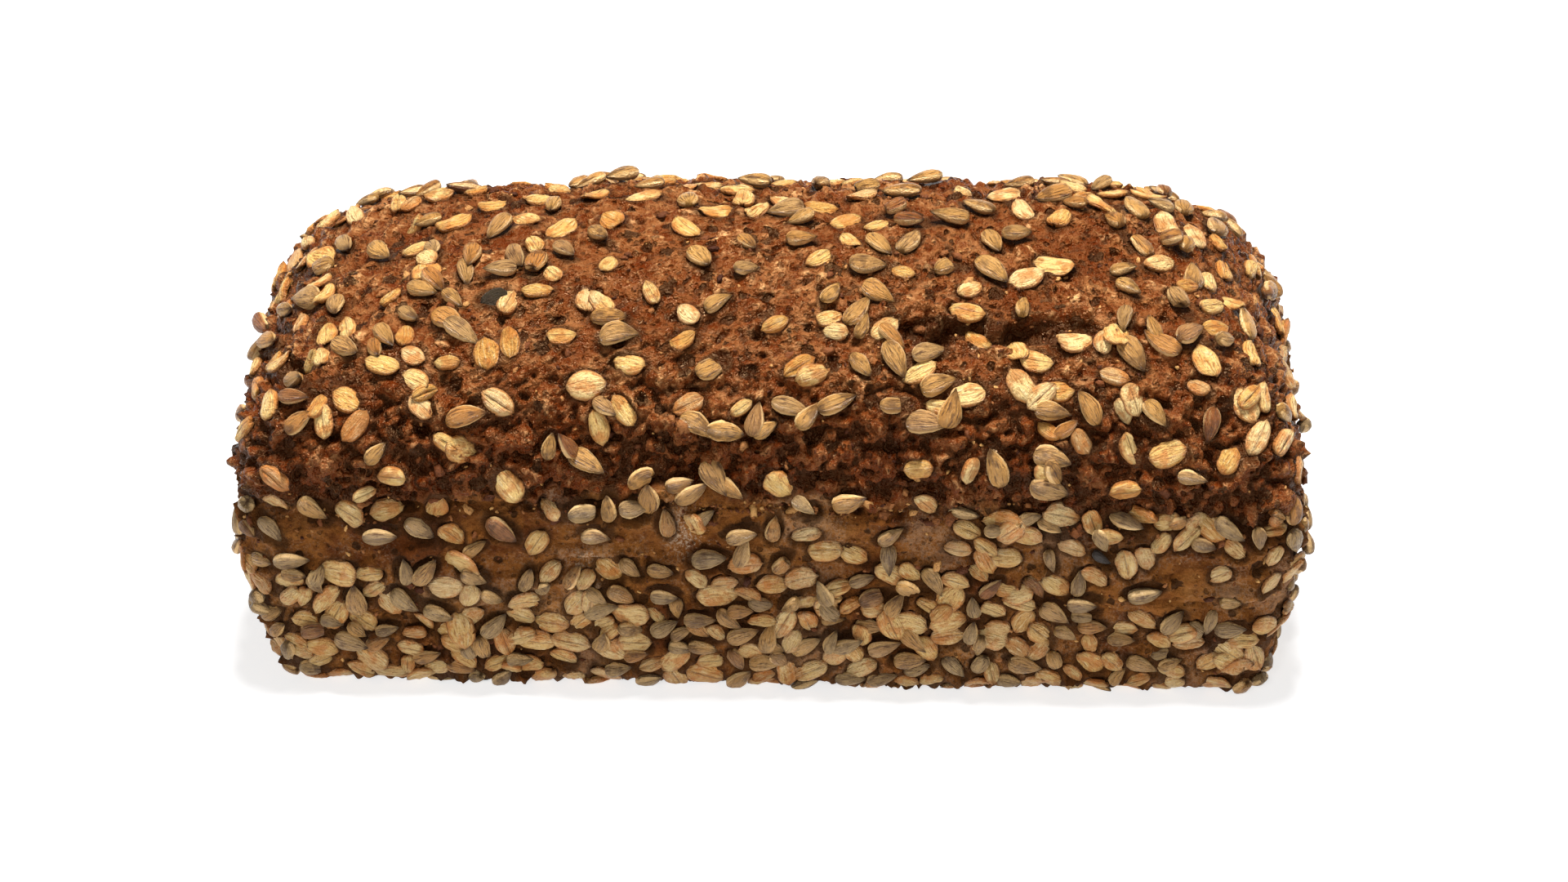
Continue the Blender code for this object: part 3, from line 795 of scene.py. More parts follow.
def flakeShapes(table, look):
    count = len(table["tone"])
    draw = np.random.default_rng(look["seed"])
    s = np.linspace(-1, 1, look["columns"])
    t = np.array(look["rows"])
    columns, rows = len(s), len(t)
    sAll, tAll = s[None, :, None], t[None, None]
    length, width, thickness = grainSizes(table)

    power = draw.uniform(*look["point"], count)[:, None]
    outline = (1 - np.abs(s)[None] ** power) ** 0.58
    ends = draw.uniform(*look["blunt"], (count, 2))
    outline = np.maximum(outline, np.where(s[None] < 0, ends[:, :1], ends[:, 1:]))
    start = draw.uniform(0, 6.28, (count, 2, 2))
    sides = []
    for side in (0, 1):
        slow = np.sin(3.1 * s[None] + start[:, side, :1])
        quick = np.sin(6.7 * s[None] + start[:, side, 1:])
        sides.append(1 + look["wavyEdge"] * (slow + 0.7 * quick))
    edge = np.where(tAll < 0, sides[0][:, :, None], sides[1][:, :, None])
    frayed = (draw.random(count) < look["frayed"])[:, None, None] * look["fray"]
    fray = frayed * draw.normal(0, 1, (count, columns, rows)).clip(-1.5, 1.5) * np.abs(sAll) ** 2
    y = tAll * outline[:, :, None] * edge * (1 + fray * np.abs(tAll) ** 3)
    rounding = 0.10 * tAll**2 * np.abs(sAll) ** 4
    x = sAll * (1 - rounding) + fray * 0.5 * np.abs(sAll) ** 5

    crossCut = (1 - np.abs(tAll) ** 2.3) ** 0.55
    body = look["plump"] * crossCut * (1 - 0.55 * sAll**4)
    wander = 0.06 * np.sin(2.6 * s[None] + 6.28 * table["seed"][:, None])  # the crease isn't straight
    crease = np.exp(-(((tAll - wander[:, :, None]) / look["creaseWidth"]) ** 2))
    hasCrease = draw.random(count) < look["creased"]
    depth = np.where(hasCrease, draw.uniform(*look["creaseDepth"], count), 0.05)[:, None, None]
    body = body - look["plump"] * depth * crease * (1 - sAll**6)
    hump = draw.uniform(0, 6.28, (count, 2))[:, :, None, None]
    body = body + 0.09 * np.sin(4.2 * sAll + hump[:, 0]) * np.cos(2.4 * tAll + hump[:, 1])  # slow humps
    body = body + 0.035 * draw.normal(0, 1, (count, columns, rows)) * crossCut  # and small dents
    curl = draw.uniform(*look["curl"], count)[:, None, None]
    twist = draw.normal(0, 0.05, count)[:, None, None]
    bent = curl * (sAll**2 - 0.3) * length + twist * sAll * tAll * width
    x, y, z = x * length / 2, y * width / 2, body * thickness + bent
    top = np.stack(np.broadcast_arrays(x, y, z), axis=-1).reshape(count, -1, 3)

    index = np.arange(columns * rows).reshape(columns, rows)
    rim = list(index[:, 0]) + list(index[-1, 1:]) + list(index[-2::-1, -1]) + list(index[0, -2:0:-1])
    under = top[:, rim] * [0.90, 0.90, 1.0]  # the underside is a little smaller, and nearly flat
    under[:, :, 2] -= 0.32 * table["thickness"][:, None]
    middle = under.mean(axis=1, keepdims=True) - [[[0, 0, 0.0002]]]
    local = np.concatenate([top, under, middle], axis=1)
    faces = []
    for i in range(columns - 1):
        for j in range(rows - 1):
            faces.append((index[i, j], index[i + 1, j], index[i + 1, j + 1], index[i, j + 1]))
    firstUnder, loop = columns * rows, len(rim)
    for k in range(loop):
        n = (k + 1) % loop
        faces.append((rim[n], rim[k], firstUnder + k, firstUnder + n))
        faces.append((firstUnder + n, firstUnder + k, firstUnder + loop))
    along, across = ([*way, *way[rim], 0] for way in (np.repeat(s, rows), np.tile(t, columns)))
    values = grainValues(table, along, across)
    values["creased"] = hasCrease[:, None]
    return local, faces, values


# Hulled sunflower kernels: flat drops with a rim line, faint ridges and a sharp tip

kernelLook = {
    "rings": 9,
    "around": (0, 0.24, 0.7, 1.2, 1.94, 2.44, 2.90, 3.14, 3.38, 4.2, 5.2, 6.04),
    "blunt": (0.42, 0.54),
    "sharp": (0.78, 1.15),
    "broken": 0.11,
    "brokenAt": (0.05, 0.55),  # where along the half length, 0 is the middle
    "ridges": 0.055,
    "lift": 0.22,  # share of the thickness by which the middle stands above the seat
    "seed": 47,
}


def kernelShapes(table, look):
    count = len(table["tone"])
    draw = np.random.default_rng(look["seed"])
    rings = look["rings"]
    angle = np.array(look["around"])
    around = len(angle)
    s = -np.cos(np.linspace(0, math.pi, rings + 2))[1:-1]
    blunt = draw.uniform(*look["blunt"], count)[:, None]
    sharp = draw.uniform(*look["sharp"], count)[:, None]
    outline = (1 + s[None]) ** blunt * (1 - s[None]) ** sharp
    outline = outline / outline.max(axis=1, keepdims=True)
    broken = draw.random(count) < look["broken"]
    cut = np.where(broken, draw.uniform(*look["brokenAt"], count), 2.0)[:, None]
    bend = draw.normal(0, 0.035, count)[:, None, None]
    uneven = draw.normal(0, 0.025, (count, rings, around))
    ridge = look["ridges"] * np.cos(7 * angle) * np.abs(np.sin(angle))
    rimLine = -0.07 * np.exp(-((np.sin(angle) / 0.16) ** 2))
    size = outline[:, :, None] * (1 + uneven + ridge + rimLine)
    lens = np.sign(np.sin(angle)) * np.abs(np.sin(angle)) ** 0.85
    slope = draw.normal(0, 0.10, count)[:, None]  # a broken end is never square
    end = cut[:, :, None] + slope[:, :, None] * np.cos(angle)
    length, width, thickness = grainSizes(table)
    x = np.minimum(s[None, :, None], end) * length / 2
    y = size * np.cos(angle) * width / 2 + bend * length * (1 - s[None, :, None] ** 2)
    z = size**0.8 * lens * thickness / 2 + look["lift"] * thickness
    body = np.stack(np.broadcast_arrays(x, y, z), axis=-1).reshape(count, -1, 3)
    tips = np.zeros((count, 2, 3))
    tips[:, :, 2] = look["lift"] * table["thickness"][:, None]
    tips[:, 0, 0] = -table["length"] / 2
    tips[:, 1, 0] = np.minimum(1.0, cut[:, 0]) * table["length"] / 2
    local = np.concatenate([body, tips], axis=1)
    faces = []
    for i in range(rings - 1):
        for j in range(around):
            n = (j + 1) % around
            faces.append((i * around + j, (i + 1) * around + j, (i + 1) * around + n, i * around + n))
    last = (rings - 1) * around
    for j in range(around):
        n = (j + 1) % around
        faces.append((rings * around, j, n))
        faces.append((last + j, rings * around + 1, last + n))
    along, across = [*np.repeat(s, around), -1, 1], [*np.tile(np.cos(angle), rings), 0, 0]
    return local, faces, grainValues(table, along, across)


kinds = {
    "oat": ("oatFlakes", flakeShapes, oatLook),
    "wheat": ("wheatFlakes", flakeShapes, wheatLook),
    "kernel": ("kernels", kernelShapes, kernelLook),
}


def makeGrains(kind, chosen):
    name, shapes, look = kinds[kind]
    table = grainTable([grain for grain in chosen if grain["kind"] == kind])
    local, faces, values = shapes(table, look)
    return copiesObject(name, placed(local, table), faces, values)


def dropPiece(piece):
    mesh = piece.data
    bpy.data.objects.remove(piece)
    bpy.data.meshes.remove(mesh)


def addRiders():
    # grains that lie half on another grain, where they are crowded
    firstLayer = [makeGrains(kind, grains) for kind in kinds]
    pile = treeOf(crustPieces + firstLayer)
    for piece in firstLayer:
        dropPiece(piece)
    draw = random.Random(seating["seed"] + 1)
    lowestBase, lowest, highest = seating["riderHeights"]
    riders = []
    for zone, count in seating["riders"].items():
        bases = [g for g in grains if g["zone"] == zone and g["crowd"] >= seating["riderCrowd"]]
        bases = [g for g in bases if lowestBase < g["middle"].z < highest]
        for base in draw.sample(bases, min(count, len(bases))):
            grain = drawGrain(draw, zone)
            turn = Matrix.Rotation(draw.uniform(0, 6.28), 3, base["out"])
            aside = (turn @ base["heading"]) * base["length"] * draw.uniform(*seating["riderAside"])
            grain["middle"] = base["middle"] + aside
            grain["out"] = base["out"]
            spin = Matrix.Rotation(draw.gauss(0, 1.0), 3, base["out"])
            grain["heading"] = spin @ base["heading"]
            if grain["middle"].z < lowest:
                continue
            seatGrain(grain, pile, draw, "rider")
            riders.append(grain)
    return riders


allGrains = grains + addRiders()
grainPieces = {kind: makeGrains(kind, allGrains) for kind in kinds}
print("made the grains", {p.name: len(p.data.polygons) for p in grainPieces.values()}, "faces")


# Loose bran, broken bits of grain and crust crumbs

branLook = {
    "crumbs": (2600, (0.00035, 0.0009)),
    "scraps": (340, (0.0011, 0.0022)),
    "rows": ((1.15, 2.6), (2.8, 3.9)),
    "reach": 0.008,
    "uneven": (0.65, 1.35),
    "seed": 53,
}


def buildBran():
    draw = random.Random(branLook["seed"])
    reach = branLook["reach"]
    sizes = []
    for count, (small, large) in (branLook["crumbs"], branLook["scraps"]):
        sizes += [draw.uniform(small, large) for _ in range(count)]
    count = len(sizes)
    u = np.array([draw.random() for _ in range(count)])
    v = np.array([draw.choice([draw.uniform(*row) for row in branLook["rows"]]) for _ in range(count)])
    point, out, level, _ = crustFrames(u, v)
    seats, turns = [], []
    for at, outward, sideways in zip(point, out, level):
        up = Vector(outward)
        hit = crustTree.ray_cast(Vector(at) + up * reach, -up, 2 * reach)[0] or Vector(at)
        spun = Matrix.Rotation(draw.uniform(0, 6.28), 3, up) @ Vector(sideways)
        spun = (spun - up * spun.dot(up)).normalized()
        seats.append(hit)
        turns.append(Matrix((spun, up.cross(spun), up)).transposed())
    shape = np.random.default_rng(branLook["seed"])
    ring = np.linspace(0, 2 * math.pi, 6)[:-1]
    corners = [(math.cos(a), 0.62 * math.sin(a), 0.0) for a in ring]
    corners += [(0.55 * math.cos(a + 0.4), 0.34 * math.sin(a + 0.4), 0.36) for a in ring]
    corners += [(0, 0, -0.4)]
    size = np.array(sizes)[:, None, None]
    uneven = shape.uniform(*branLook["uneven"], (count, len(corners), 1))
    local = np.array(corners)[None] * size * uneven
    faces = [(5, 6, 7, 8), (5, 8, 9)]
    for j in range(5):
        n = (j + 1) % 5
        faces += [(j, n, 5 + n, 5 + j), (n, j, 10)]
    table = {"turn": np.array(turns), "at": np.array(seats)}
    values = {"tone": shape.random(count)[:, None]}
    return copiesObject("bran", placed(local, table), faces, values)


bran = buildBran()
print("made the bran", len(bran.data.polygons), "faces")


# Helpers for shader nodes


def feed(tree, socket, value):
    if isinstance(value, bpy.types.NodeSocket):
        tree.links.new(value, socket)
    else:
        socket.default_value = value


def step(tree, kind, inputs=(), **settings):
    made = tree.nodes.new(kind)
    for name, value in settings.items():
        setattr(made, name, value)
    for name, value in dict(inputs).items():
        feed(tree, made.inputs[name], value)
    return made


def calc(tree, operation, a, b):
    return step(tree, "ShaderNodeMath", {0: a, 1: b}, operation=operation).outputs[0]


def plus(tree, a, b):
    return calc(tree, "ADD", a, b)


def times(tree, a, b):
    return calc(tree, "MULTIPLY", a, b)


def most(tree, a, b):
    return calc(tree, "MAXIMUM", a, b)


def offMiddle(tree, value):
    return step(tree, "ShaderNodeMath", {0: value}, operation="ABSOLUTE").outputs[0]


def blendColour(tree, share, a, b):
    return step(tree, "ShaderNodeMix", {0: share, 6: a, 7: b}, data_type="RGBA").outputs[2]


def blendValue(tree, share, a, b):
    return step(tree, "ShaderNodeMix", {0: share, 2: a, 3: b}, data_type="FLOAT").outputs[0]


def coats(tree, colour, *layers):
    # each layer is a share and a colour, the first one lowest
    for share, over in layers:
        colour = blendColour(tree, share, colour, over)
    return colour


def fade(tree, value, low, high, start=0.0, end=1.0):
    span = {"Value": value, "From Min": low, "From Max": high, "To Min": start, "To Max": end}
    return step(tree, "ShaderNodeMapRange", span, interpolation_type="SMOOTHSTEP").outputs[0]


def grit(tree, place, scale, detail=3.0, rough=0.55):
    inputs = {"Vector": place, "Scale": scale, "Detail": detail, "Roughness": rough}
    return step(tree, "ShaderNodeTexNoise", inputs).outputs["Fac"]


def ramp(tree, value, stops):
    made = step(tree, "ShaderNodeValToRGB", {"Fac": value})
    points = made.color_ramp.elements
    points[0].position, points[0].color = stops[0]
    points[1].position, points[1].color = stops[-1]
    for position, colour in stops[1:-1]:
        points.new(position).color = colour
    return made.outputs["Color"]


def attributes(tree, names):
    found = [step(tree, "ShaderNodeAttribute", attribute_name=name) for name in names.split()]
    return [node.outputs["Fac"] for node in found]


def objectPlace(tree):
    return step(tree, "ShaderNodeTexCoord").outputs["Object"]


def bump(tree, height, distance):
    inputs = {"Height": height, "Distance": distance, "Strength": 1.0}
    return step(tree, "ShaderNodeBump", inputs).outputs["Normal"]


def newGroup(name, takes, gives):
    tree = bpy.data.node_groups.new(name, "ShaderNodeTree")
    for label, kind in takes.items():
        tree.interface.new_socket(label, in_out="INPUT", socket_type=kind)
    for label, kind in gives.items():
        tree.interface.new_socket(label, in_out="OUTPUT", socket_type=kind)
    return tree, tree.nodes.new("NodeGroupInput").outputs, tree.nodes.new("NodeGroupOutput").inputs


def use(tree, group, **inputs):
    return step(tree, "ShaderNodeGroup", inputs, node_tree=group).outputs


def newMaterial(name):
    made = bpy.data.materials.new(name)
    made.use_nodes = True
    return made, made.node_tree


def finishShader(tree, sockets):
    for label, value in sockets.items():
        feed(tree, tree.nodes["Principled BSDF"].inputs[label], value)


vectorKind, numberKind, colourKind = "NodeSocketVector", "NodeSocketFloat", "NodeSocketColor"


def mottleGroup():
    # patchy browning: three colours mixed by coarse and fine noise
    takes = {"Place": vectorKind, "Scale": numberKind}
    takes.update({"Dark": colourKind, "Middle": colourKind, "Light": colourKind})
    tree, given, result = newGroup("bakedMottle", takes, {"Color": colourKind})
    coarse = grit(tree, given["Place"], given["Scale"], 5.0, 0.6)
    fine = grit(tree, given["Place"], times(tree, given["Scale"], 7.0), 3.0, 0.6)
    value = plus(tree, times(tree, coarse, 0.78), times(tree, fine, 0.22))
    low, high = fade(tree, value, 0.36, 0.52), fade(tree, value, 0.50, 0.66)
    colour = coats(tree, given["Dark"], (low, given["Middle"]), (high, given["Light"]))
    feed(tree, result["Color"], colour)
    return tree


def crumbGroup():
    # fine crumbly relief: its height, its hollows and its peaks
    takes = {"Place": vectorKind, "Scale": numberKind}
    gives = {"Height": numberKind, "Hollows": numberKind, "Peaks": numberKind}
    tree, given, result = newGroup("crumbRelief", takes, gives)
    coarse = grit(tree, given["Place"], given["Scale"], 2.0)
    fine = grit(tree, given["Place"], times(tree, given["Scale"], 3.1), 2.0)
    value = plus(tree, times(tree, coarse, 0.66), times(tree, fine, 0.34))
    feed(tree, result["Height"], value)
    feed(tree, result["Hollows"], fade(tree, value, 0.52, 0.38))
    feed(tree, result["Peaks"], fade(tree, value, 0.50, 0.64))
    return tree


def poresGroup():
    # small round holes of uneven size
    takes = {"Place": vectorKind, "Scale": numberKind, "Size": numberKind}
    tree, given, result = newGroup("pores", takes, {"Mask": numberKind})
    wobble = grit(tree, given["Place"], 900.0, 1.0)
    cells = step(tree, "ShaderNodeTexVoronoi", {"Vector": given["Place"], "Scale": given["Scale"]})
    drawn = step(tree, "ShaderNodeSeparateColor", {"Color": cells.outputs["Color"]}).outputs[0]
    size = times(tree, given["Size"], calc(tree, "POWER", drawn, 1.6))
    size = times(tree, size, plus(tree, wobble, 0.5))
    away = calc(tree, "SUBTRACT", cells.outputs["Distance"], size)
    feed(tree, result["Mask"], fade(tree, away, 0.05, -0.05))
    return tree


def streaksGroup():
    # fibres that run along a grain, different on each
    takes = {"Along": numberKind, "Across": numberKind, "Seed": numberKind, "Fibres": numberKind}
    tree, given, result = newGroup("grainStreaks", takes, {"Value": numberKind})
    inputs = {
        "X": times(tree, given["Along"], 0.9),
        "Y": times(tree, given["Across"], given["Fibres"]),
        "Z": times(tree, given["Seed"], 97.0),
    }
    place = step(tree, "ShaderNodeCombineXYZ", inputs).outputs[0]
    feed(tree, result["Value"], grit(tree, place, 1.6, 4.0, 0.62))
    return tree


def flourGroup():
    # a thin uneven film of flour
    takes = {"Place": vectorKind, "Amount": numberKind}
    tree, given, result = newGroup("flourFilm", takes, {"Mask": numberKind})
    patch = grit(tree, given["Place"], 55.0, 3.0, 0.6)
    grain = grit(tree, given["Place"], 1500.0, 2.0, 0.7)
    mixed = plus(tree, times(tree, patch, 0.6), times(tree, grain, 0.4))
    feed(tree, result["Mask"], times(tree, fade(tree, mixed, 0.49, 0.62), given["Amount"]))
    return tree


bakedMottle, crumbRelief, pores = mottleGroup(), crumbGroup(), poresGroup()
grainStreaks, flourFilm = streaksGroup(), flourGroup()


# The crust's material

crustPaint = {
    "topDark": paint(94, 42, 10),
    "topMiddle": paint(129, 74, 35),
    "topLight": paint(153, 99, 55),
    "glaze": paint(92, 32, 3),
    # flour dust on the peaks, also standing in as a painted highlight
    "dustAndHighlight": paint(218, 162, 106),
    "wallDark": paint(84, 38, 8),
    "wallMiddle": paint(128, 76, 30),
    "wallLight": paint(146, 96, 48),
    # darker crust for the hollows in the walls, partly its own colour and partly painted shade
    "wallHollowShade": paint(72, 30, 6),
    # painted shade, near black, for deep hollows, pores and the crust round the grains
    "recessShade": paint(32, 9, 1),
    "flour": paint(188, 166, 140),
    "gleam": (1.0, 0.62, 0.30, 1.0),  # syrup and baked starch shine warm
}


def crustMaterial():
    made, tree = newMaterial("crustBaked")
    look, place = crustPaint, objectPlace(tree)
    top, band, cavity, contact, raised, dust = attributes(tree, "top band cavity contact raised dust")
    crumb = use(tree, crumbRelief, Place=place, Scale=400.0)
    mottles = []
    for scale, zone in ((70.0, "top"), (60.0, "wall")):
        tones = {name: look[zone + name] for name in ("Dark", "Middle", "Light")}
        mottles.append(use(tree, bakedMottle, Place=place, Scale=scale, **tones)["Color"])

    glazed = fade(tree, grit(tree, place, 105.0), 0.50, 0.60)  # where syrup baked on
    glazed = most(tree, times(tree, glazed, 0.45), times(tree, band, 0.50))
    film = fade(tree, grit(tree, place, 48.0, 4.0, 0.6), 0.40, 0.62)
    # flour dust on the crumbs' peaks and raised spots, lightened further as a painted highlight
    dustAndHighlight = plus(tree, times(tree, film, 0.32), times(tree, raised, 0.80))
    dustAndHighlight = times(tree, times(tree, crumb["Peaks"], dustAndHighlight), fade(tree, band, 0.0, 1.0, 1.0, 0.35))
    topPaint = coats(
        tree, mottles[0],
        # hollows darker: glaze that gathers there, and painted shade
        (times(tree, crumb["Hollows"], 0.75), look["glaze"]),
        (glazed, look["glaze"]),
        (times(tree, cavity, 0.45), look["glaze"]),
        (dustAndHighlight, look["dustAndHighlight"]),
    )
    amount = plus(tree, 0.20, times(tree, dust, 0.65))
    wallPaint = coats(
        tree, mottles[1],
        # hollows darker: partly the crust's own colour, partly painted shade
        (times(tree, crumb["Hollows"], 0.45), look["wallHollowShade"]),
        (times(tree, cavity, 0.45), look["wallHollowShade"]),
        (use(tree, flourFilm, Place=place, Amount=amount)["Mask"], look["flour"]),
    )

    size = blendValue(tree, top, 0.34, 0.48)
    small, tiny = (use(tree, pores, Place=place, Scale=s, Size=size)["Mask"] for s in (210.0, 470.0))
    holes = most(tree, small, times(tree, tiny, 0.6))
    # painted shade: deep hollows and pores go near black
    shadow = most(tree, fade(tree, cavity, 0.55, 0.95, 0.0, 0.74), times(tree, holes, 0.85))
    # painted shadow on the crust round each grain
    shadow = most(tree, shadow, times(tree, contact, 0.78))
    body = coats(tree, wallPaint, (top, topPaint), (shadow, look["recessShade"]))

    glossy = fade(tree, crumb["Height"], 0.36, 0.62, 0.18, 0.42)
    glossy = calc(tree, "SUBTRACT", glossy, times(tree, glazed, 0.16))
    relief = blendValue(tree, top, 0.75, 1.0)  # the tin kept the walls smoother
    fine = times(tree, grit(tree, place, 2300.0, 3.0, 0.6), 0.14)
    height = plus(tree, times(tree, crumb["Height"], relief), fine)
    height = calc(tree, "SUBTRACT", height, times(tree, holes, 0.30))
    finishShader(tree, {
        "Base Color": body,
        "Roughness": blendValue(tree, top, 0.88, glossy),
        "Specular IOR Level": 0.42,
        "Specular Tint": look["gleam"],
        "Normal": bump(tree, height, 0.0032),
    })
    return made


# The flakes' material

flakePaint = {
    "tones": (
        (0.00, paint(218, 154, 70)),
        (0.28, paint(238, 190, 106)),
        (0.60, paint(247, 206, 128)),
        (0.86, paint(250, 215, 148)),
        (1.00, paint(196, 124, 54)),
    ),
    "crease": paint(104, 52, 18),
    "pale": paint(252, 230, 180),
    "husk": paint(166, 96, 34),
    "toasted": paint(200, 118, 42),
    # a toasted rim, darkened further as painted shade between flake and crust
    "edge": paint(140, 78, 26),
    "wall": paint(208, 166, 104),
    "burnt": paint(28, 30, 22),
}


def flakeMaterial():
    made, tree = newMaterial("flakeToasted")
    look, place = flakePaint, objectPlace(tree)
    tone, seed, wall, along = attributes(tree, "tone seed wall along")
    across, creased, odd = attributes(tree, "across creased odd")
    streaks = use(tree, grainStreaks, Along=along, Across=across, Seed=seed, Fibres=3.6)["Value"]
    patches = grit(tree, place, 260.0, 3.0, 0.6)
    sides, ends = offMiddle(tree, across), offMiddle(tree, along)
    nearEdge = most(tree, fade(tree, sides, 0.62, 1.0), fade(tree, ends, 0.70, 1.0))
    atEdge = most(tree, fade(tree, sides, 0.84, 1.0), fade(tree, ends, 0.90, 1.0))
    line = times(tree, fade(tree, sides, 0.11, 0.01), fade(tree, ends, 0.92, 0.60))
    line = times(tree, line, fade(tree, creased, 0.0, 1.0, 0.05, 0.60))
    flour = use(tree, flourFilm, Place=place, Amount=times(tree, wall, 0.30))["Mask"]
    body = coats(
        tree, ramp(tree, tone, look["tones"]),
        (times(tree, wall, 0.50), look["wall"]),
        (fade(tree, streaks, 0.52, 0.70, 0.0, 0.60), look["pale"]),
        (fade(tree, streaks, 0.48, 0.33, 0.0, 0.80), look["husk"]),
        (fade(tree, patches, 0.47, 0.62, 0.0, 0.70), look["toasted"]),
        (times(tree, nearEdge, 0.60), look["toasted"]),
        # the thin rim darkest: toasted, plus painted shade outlining the flake
        (times(tree, atEdge, 0.70), look["edge"]),
        (line, look["crease"]),
        (fade(tree, grit(tree, place, 1300.0, 2.0), 0.60, 0.70, 0.0, 0.5), look["husk"]),
        (flour, look["pale"]),
        (times(tree, odd, 0.95), look["burnt"]),
    )
    height = plus(tree, streaks, times(tree, grit(tree, place, 1500.0), 0.45))
    height = plus(tree, height, times(tree, patches, 0.5))
    finishShader(tree, {
        "Base Color": body,
        "Roughness": fade(tree, streaks, 0.3, 0.7, 0.52, 0.34),
        "Specular IOR Level": 0.40,
        "Normal": bump(tree, height, 0.0018),
    })
    return made


# The kernels' material

kernelPaint = {
    "tones": (
        (0.00, paint(186, 120, 52)),
        (0.30, paint(206, 152, 80)),
        (0.60, paint(188, 136, 72)),
        (0.85, paint(188, 144, 88)),
        (1.00, paint(148, 82, 32)),
    ),
    "line": paint(78, 44, 20),
    "rim": paint(236, 196, 134),
    "tip": paint(70, 38, 18),
    "wall": paint(162, 134, 92),
    "slate": paint(58, 62, 64),
}


def kernelMaterial():
    made, tree = newMaterial("kernelRoasted")
    look, place = kernelPaint, objectPlace(tree)
    tone, seed, wall, along, across, odd = attributes(tree, "tone seed wall along across odd")
    streaks = use(tree, grainStreaks, Along=along, Across=across, Seed=seed, Fibres=4.2)["Value"]
    patches = grit(tree, place, 240.0, 3.0, 0.6)
    flour = use(tree, flourFilm, Place=place, Amount=times(tree, wall, 0.30))["Mask"]
    body = coats(
        tree, ramp(tree, tone, look["tones"]),
        (times(tree, wall, fade(tree, seed, 0.35, 0.65, 0.15, 0.80)), look["wall"]),
        (fade(tree, streaks, 0.48, 0.36, 0.0, 0.85), look["line"]),
        (fade(tree, streaks, 0.54, 0.70, 0.0, 0.40), look["rim"]),
        (fade(tree, patches, 0.50, 0.66, 0.0, 0.60), look["line"]),
        (fade(tree, offMiddle(tree, across), 0.84, 0.96, 0.0, 0.60), look["rim"]),
        (fade(tree, along, 0.60, 1.0, 0.0, 0.80), look["tip"]),
        (flour, look["rim"]),
        (times(tree, odd, 0.92), look["slate"]),
    )
    height = plus(tree, streaks, times(tree, grit(tree, place, 1600.0), 0.25))
    finishShader(tree, {
        "Base Color": body,
        "Roughness": fade(tree, streaks, 0.3, 0.7, 0.40, 0.24),
        "Specular IOR Level": 0.45,
        "Normal": bump(tree, height, 0.0014),
    })
    return made


# The bran's material

branPaint = {
    "tones": (
        (0.00, paint(58, 26, 10)),
        (0.45, paint(112, 62, 30)),
        (0.78, paint(150, 96, 52)),
        (1.00, paint(206, 156, 92)),
    ),
}


def branMaterial():
    made, tree = newMaterial("branCrumb")
    place = objectPlace(tree)
    tone = attributes(tree, "tone")[0]
    darkest = branPaint["tones"][0][1]
    small = use(tree, pores, Place=place, Scale=1400.0, Size=0.5)["Mask"]
    body = coats(tree, ramp(tree, tone, branPaint["tones"]), (times(tree, small, 0.5), darkest))
    finishShader(tree, {
        "Base Color": body,
        "Roughness": 0.55,
        "Specular IOR Level": 0.15,
        "Normal": bump(tree, grit(tree, place, 2200.0, 2.0), 0.0005),
    })
    return made


crustBaked, flakeToasted = crustMaterial(), flakeMaterial()
finishes = [(piece, crustBaked, "crust") for piece in crustPieces]
finishes += [(grainPieces[kind], flakeToasted, "flakes") for kind in ("oat", "wheat")]
finishes += [(grainPieces["kernel"], kernelMaterial(), "kernels"), (bran, branMaterial(), "crust")]
for piece, material, slotName in finishes:
    piece.data.materials.append(material)
    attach(piece, "root")
for piece in crustPieces + list(grainPieces.values()):
    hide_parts("loaf")
print("painted the pieces")


# The studio: a pale floor, soft light from above and in front, and the photo's view

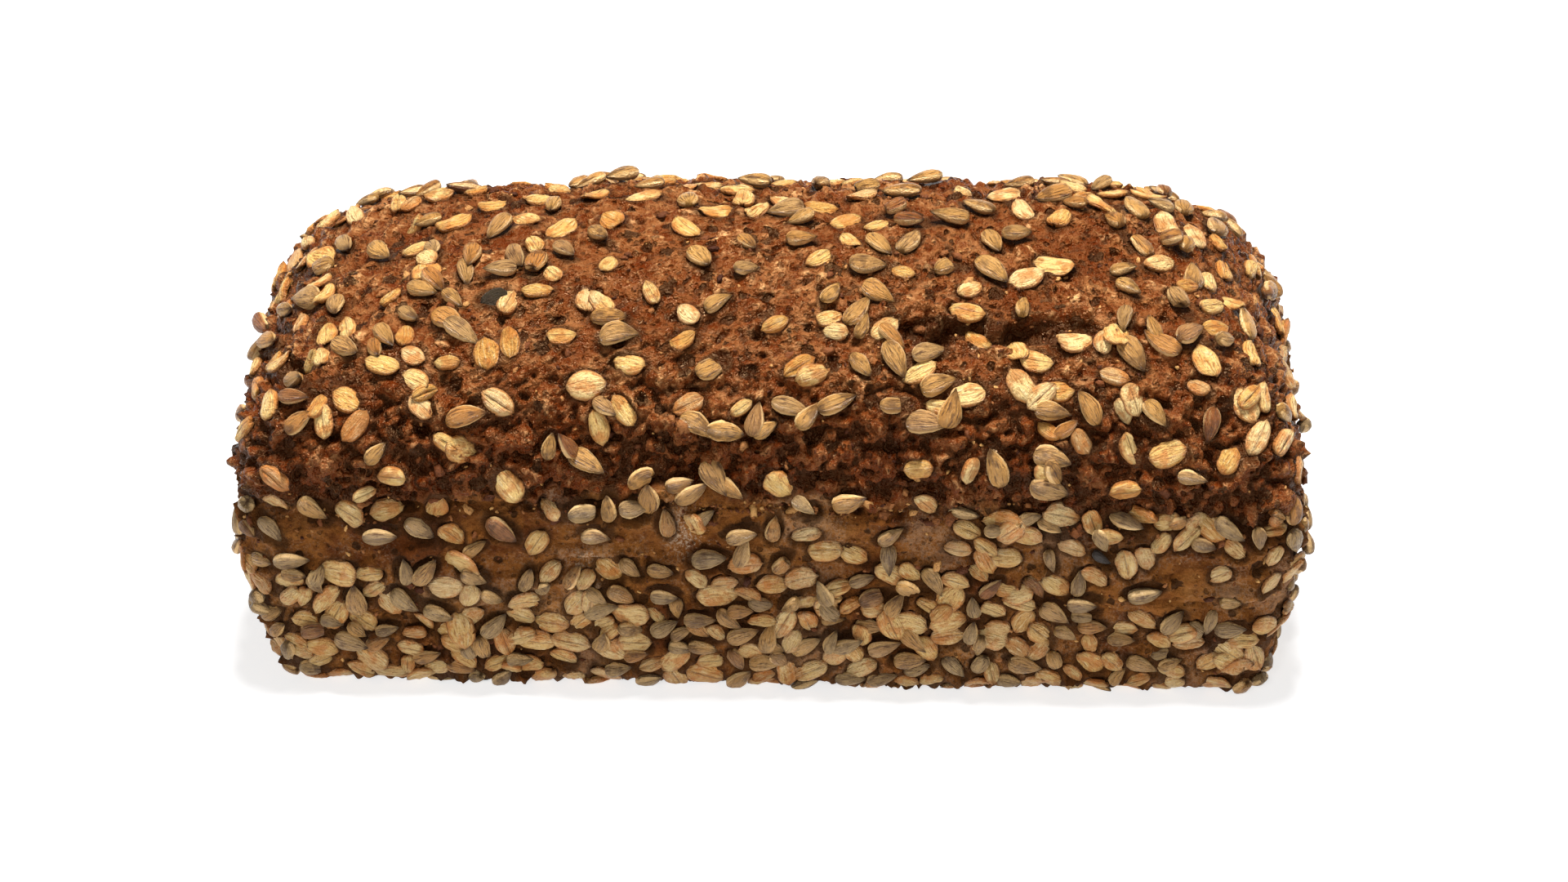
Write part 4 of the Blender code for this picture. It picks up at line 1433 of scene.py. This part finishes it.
studio = {
    "elevation": 31.0,
    "azimuth": 1.54,
    "distance": 1.02,
    "target": (-0.0018, 0.0, 0.040),
    "lens": 96.15,
    "shift": (0.0107, -0.0061),
    "floorSize": 8.0,
    "floorPaint": (0.45, 0.45, 0.45, 1.0),
    "floorGlow": 0.70,  # lit through from below, so that shadows stay pale
    "world": 0.22,
    # name: place, size and watts
    "lights": {
        "overhead": ((0.03, 0.03, 1.15), 0.32, 27.0),
        "frontFill": ((-0.25, -1.15, 0.95), 0.34, 5.0),
    },
}


def makeFloor():
    half = studio["floorSize"] / 2
    corners = np.array([(-half, -half, 0), (half, -half, 0), (half, half, 0), (-half, half, 0)])
    floor = meshObject("floor", corners, [(0, 1, 2, 3)], {})
    made, tree = newMaterial("paleFloor")
    finishShader(tree, {
        "Base Color": studio["floorPaint"],
        "Roughness": 0.9,
        "Specular IOR Level": 0.2,
        "Emission Color": (1, 1, 1, 1),
        "Emission Strength": studio["floorGlow"],
    })
    floor.data.materials.append(made)


def makeLights():
    world = bpy.data.worlds.new("studioWorld")
    world.use_nodes = True
    sky = world.node_tree.nodes["Background"].inputs
    sky["Color"].default_value = (1, 1, 1, 1)
    sky["Strength"].default_value = studio["world"]
    bpy.context.scene.world = world
    for name, (place, size, watts) in studio["lights"].items():
        lamp = bpy.data.lights.new(name, "AREA")
        lamp.shape = "DISK"
        lamp.size = size
        lamp.energy = watts
        holder = bpy.data.objects.new(name, lamp)
        holder.location = place
        aim = Vector(studio["target"]) - Vector(place)
        holder.rotation_euler = aim.to_track_quat("-Z", "Y").to_euler()
        bpy.context.scene.collection.objects.link(holder)


def makeCamera():
    lift, turn = math.radians(studio["elevation"]), math.radians(studio["azimuth"])
    away = studio["distance"]
    level = away * math.cos(lift)
    camera = bpy.data.cameras.new("camera")
    camera.lens = studio["lens"]
    camera.shift_x, camera.shift_y = studio["shift"]
    holder = bpy.data.objects.new("camera", camera)
    offset = Vector((level * math.sin(turn), -level * math.cos(turn), away * math.sin(lift)))
    holder.location = Vector(studio["target"]) + offset
    holder.rotation_euler = (math.pi / 2 - lift, 0, turn)
    bpy.context.scene.collection.objects.link(holder)
    bpy.context.scene.camera = holder


makeFloor()
makeLights()
makeCamera()
bpy.context.scene.view_settings.view_transform = "Standard"
print("set up the studio")
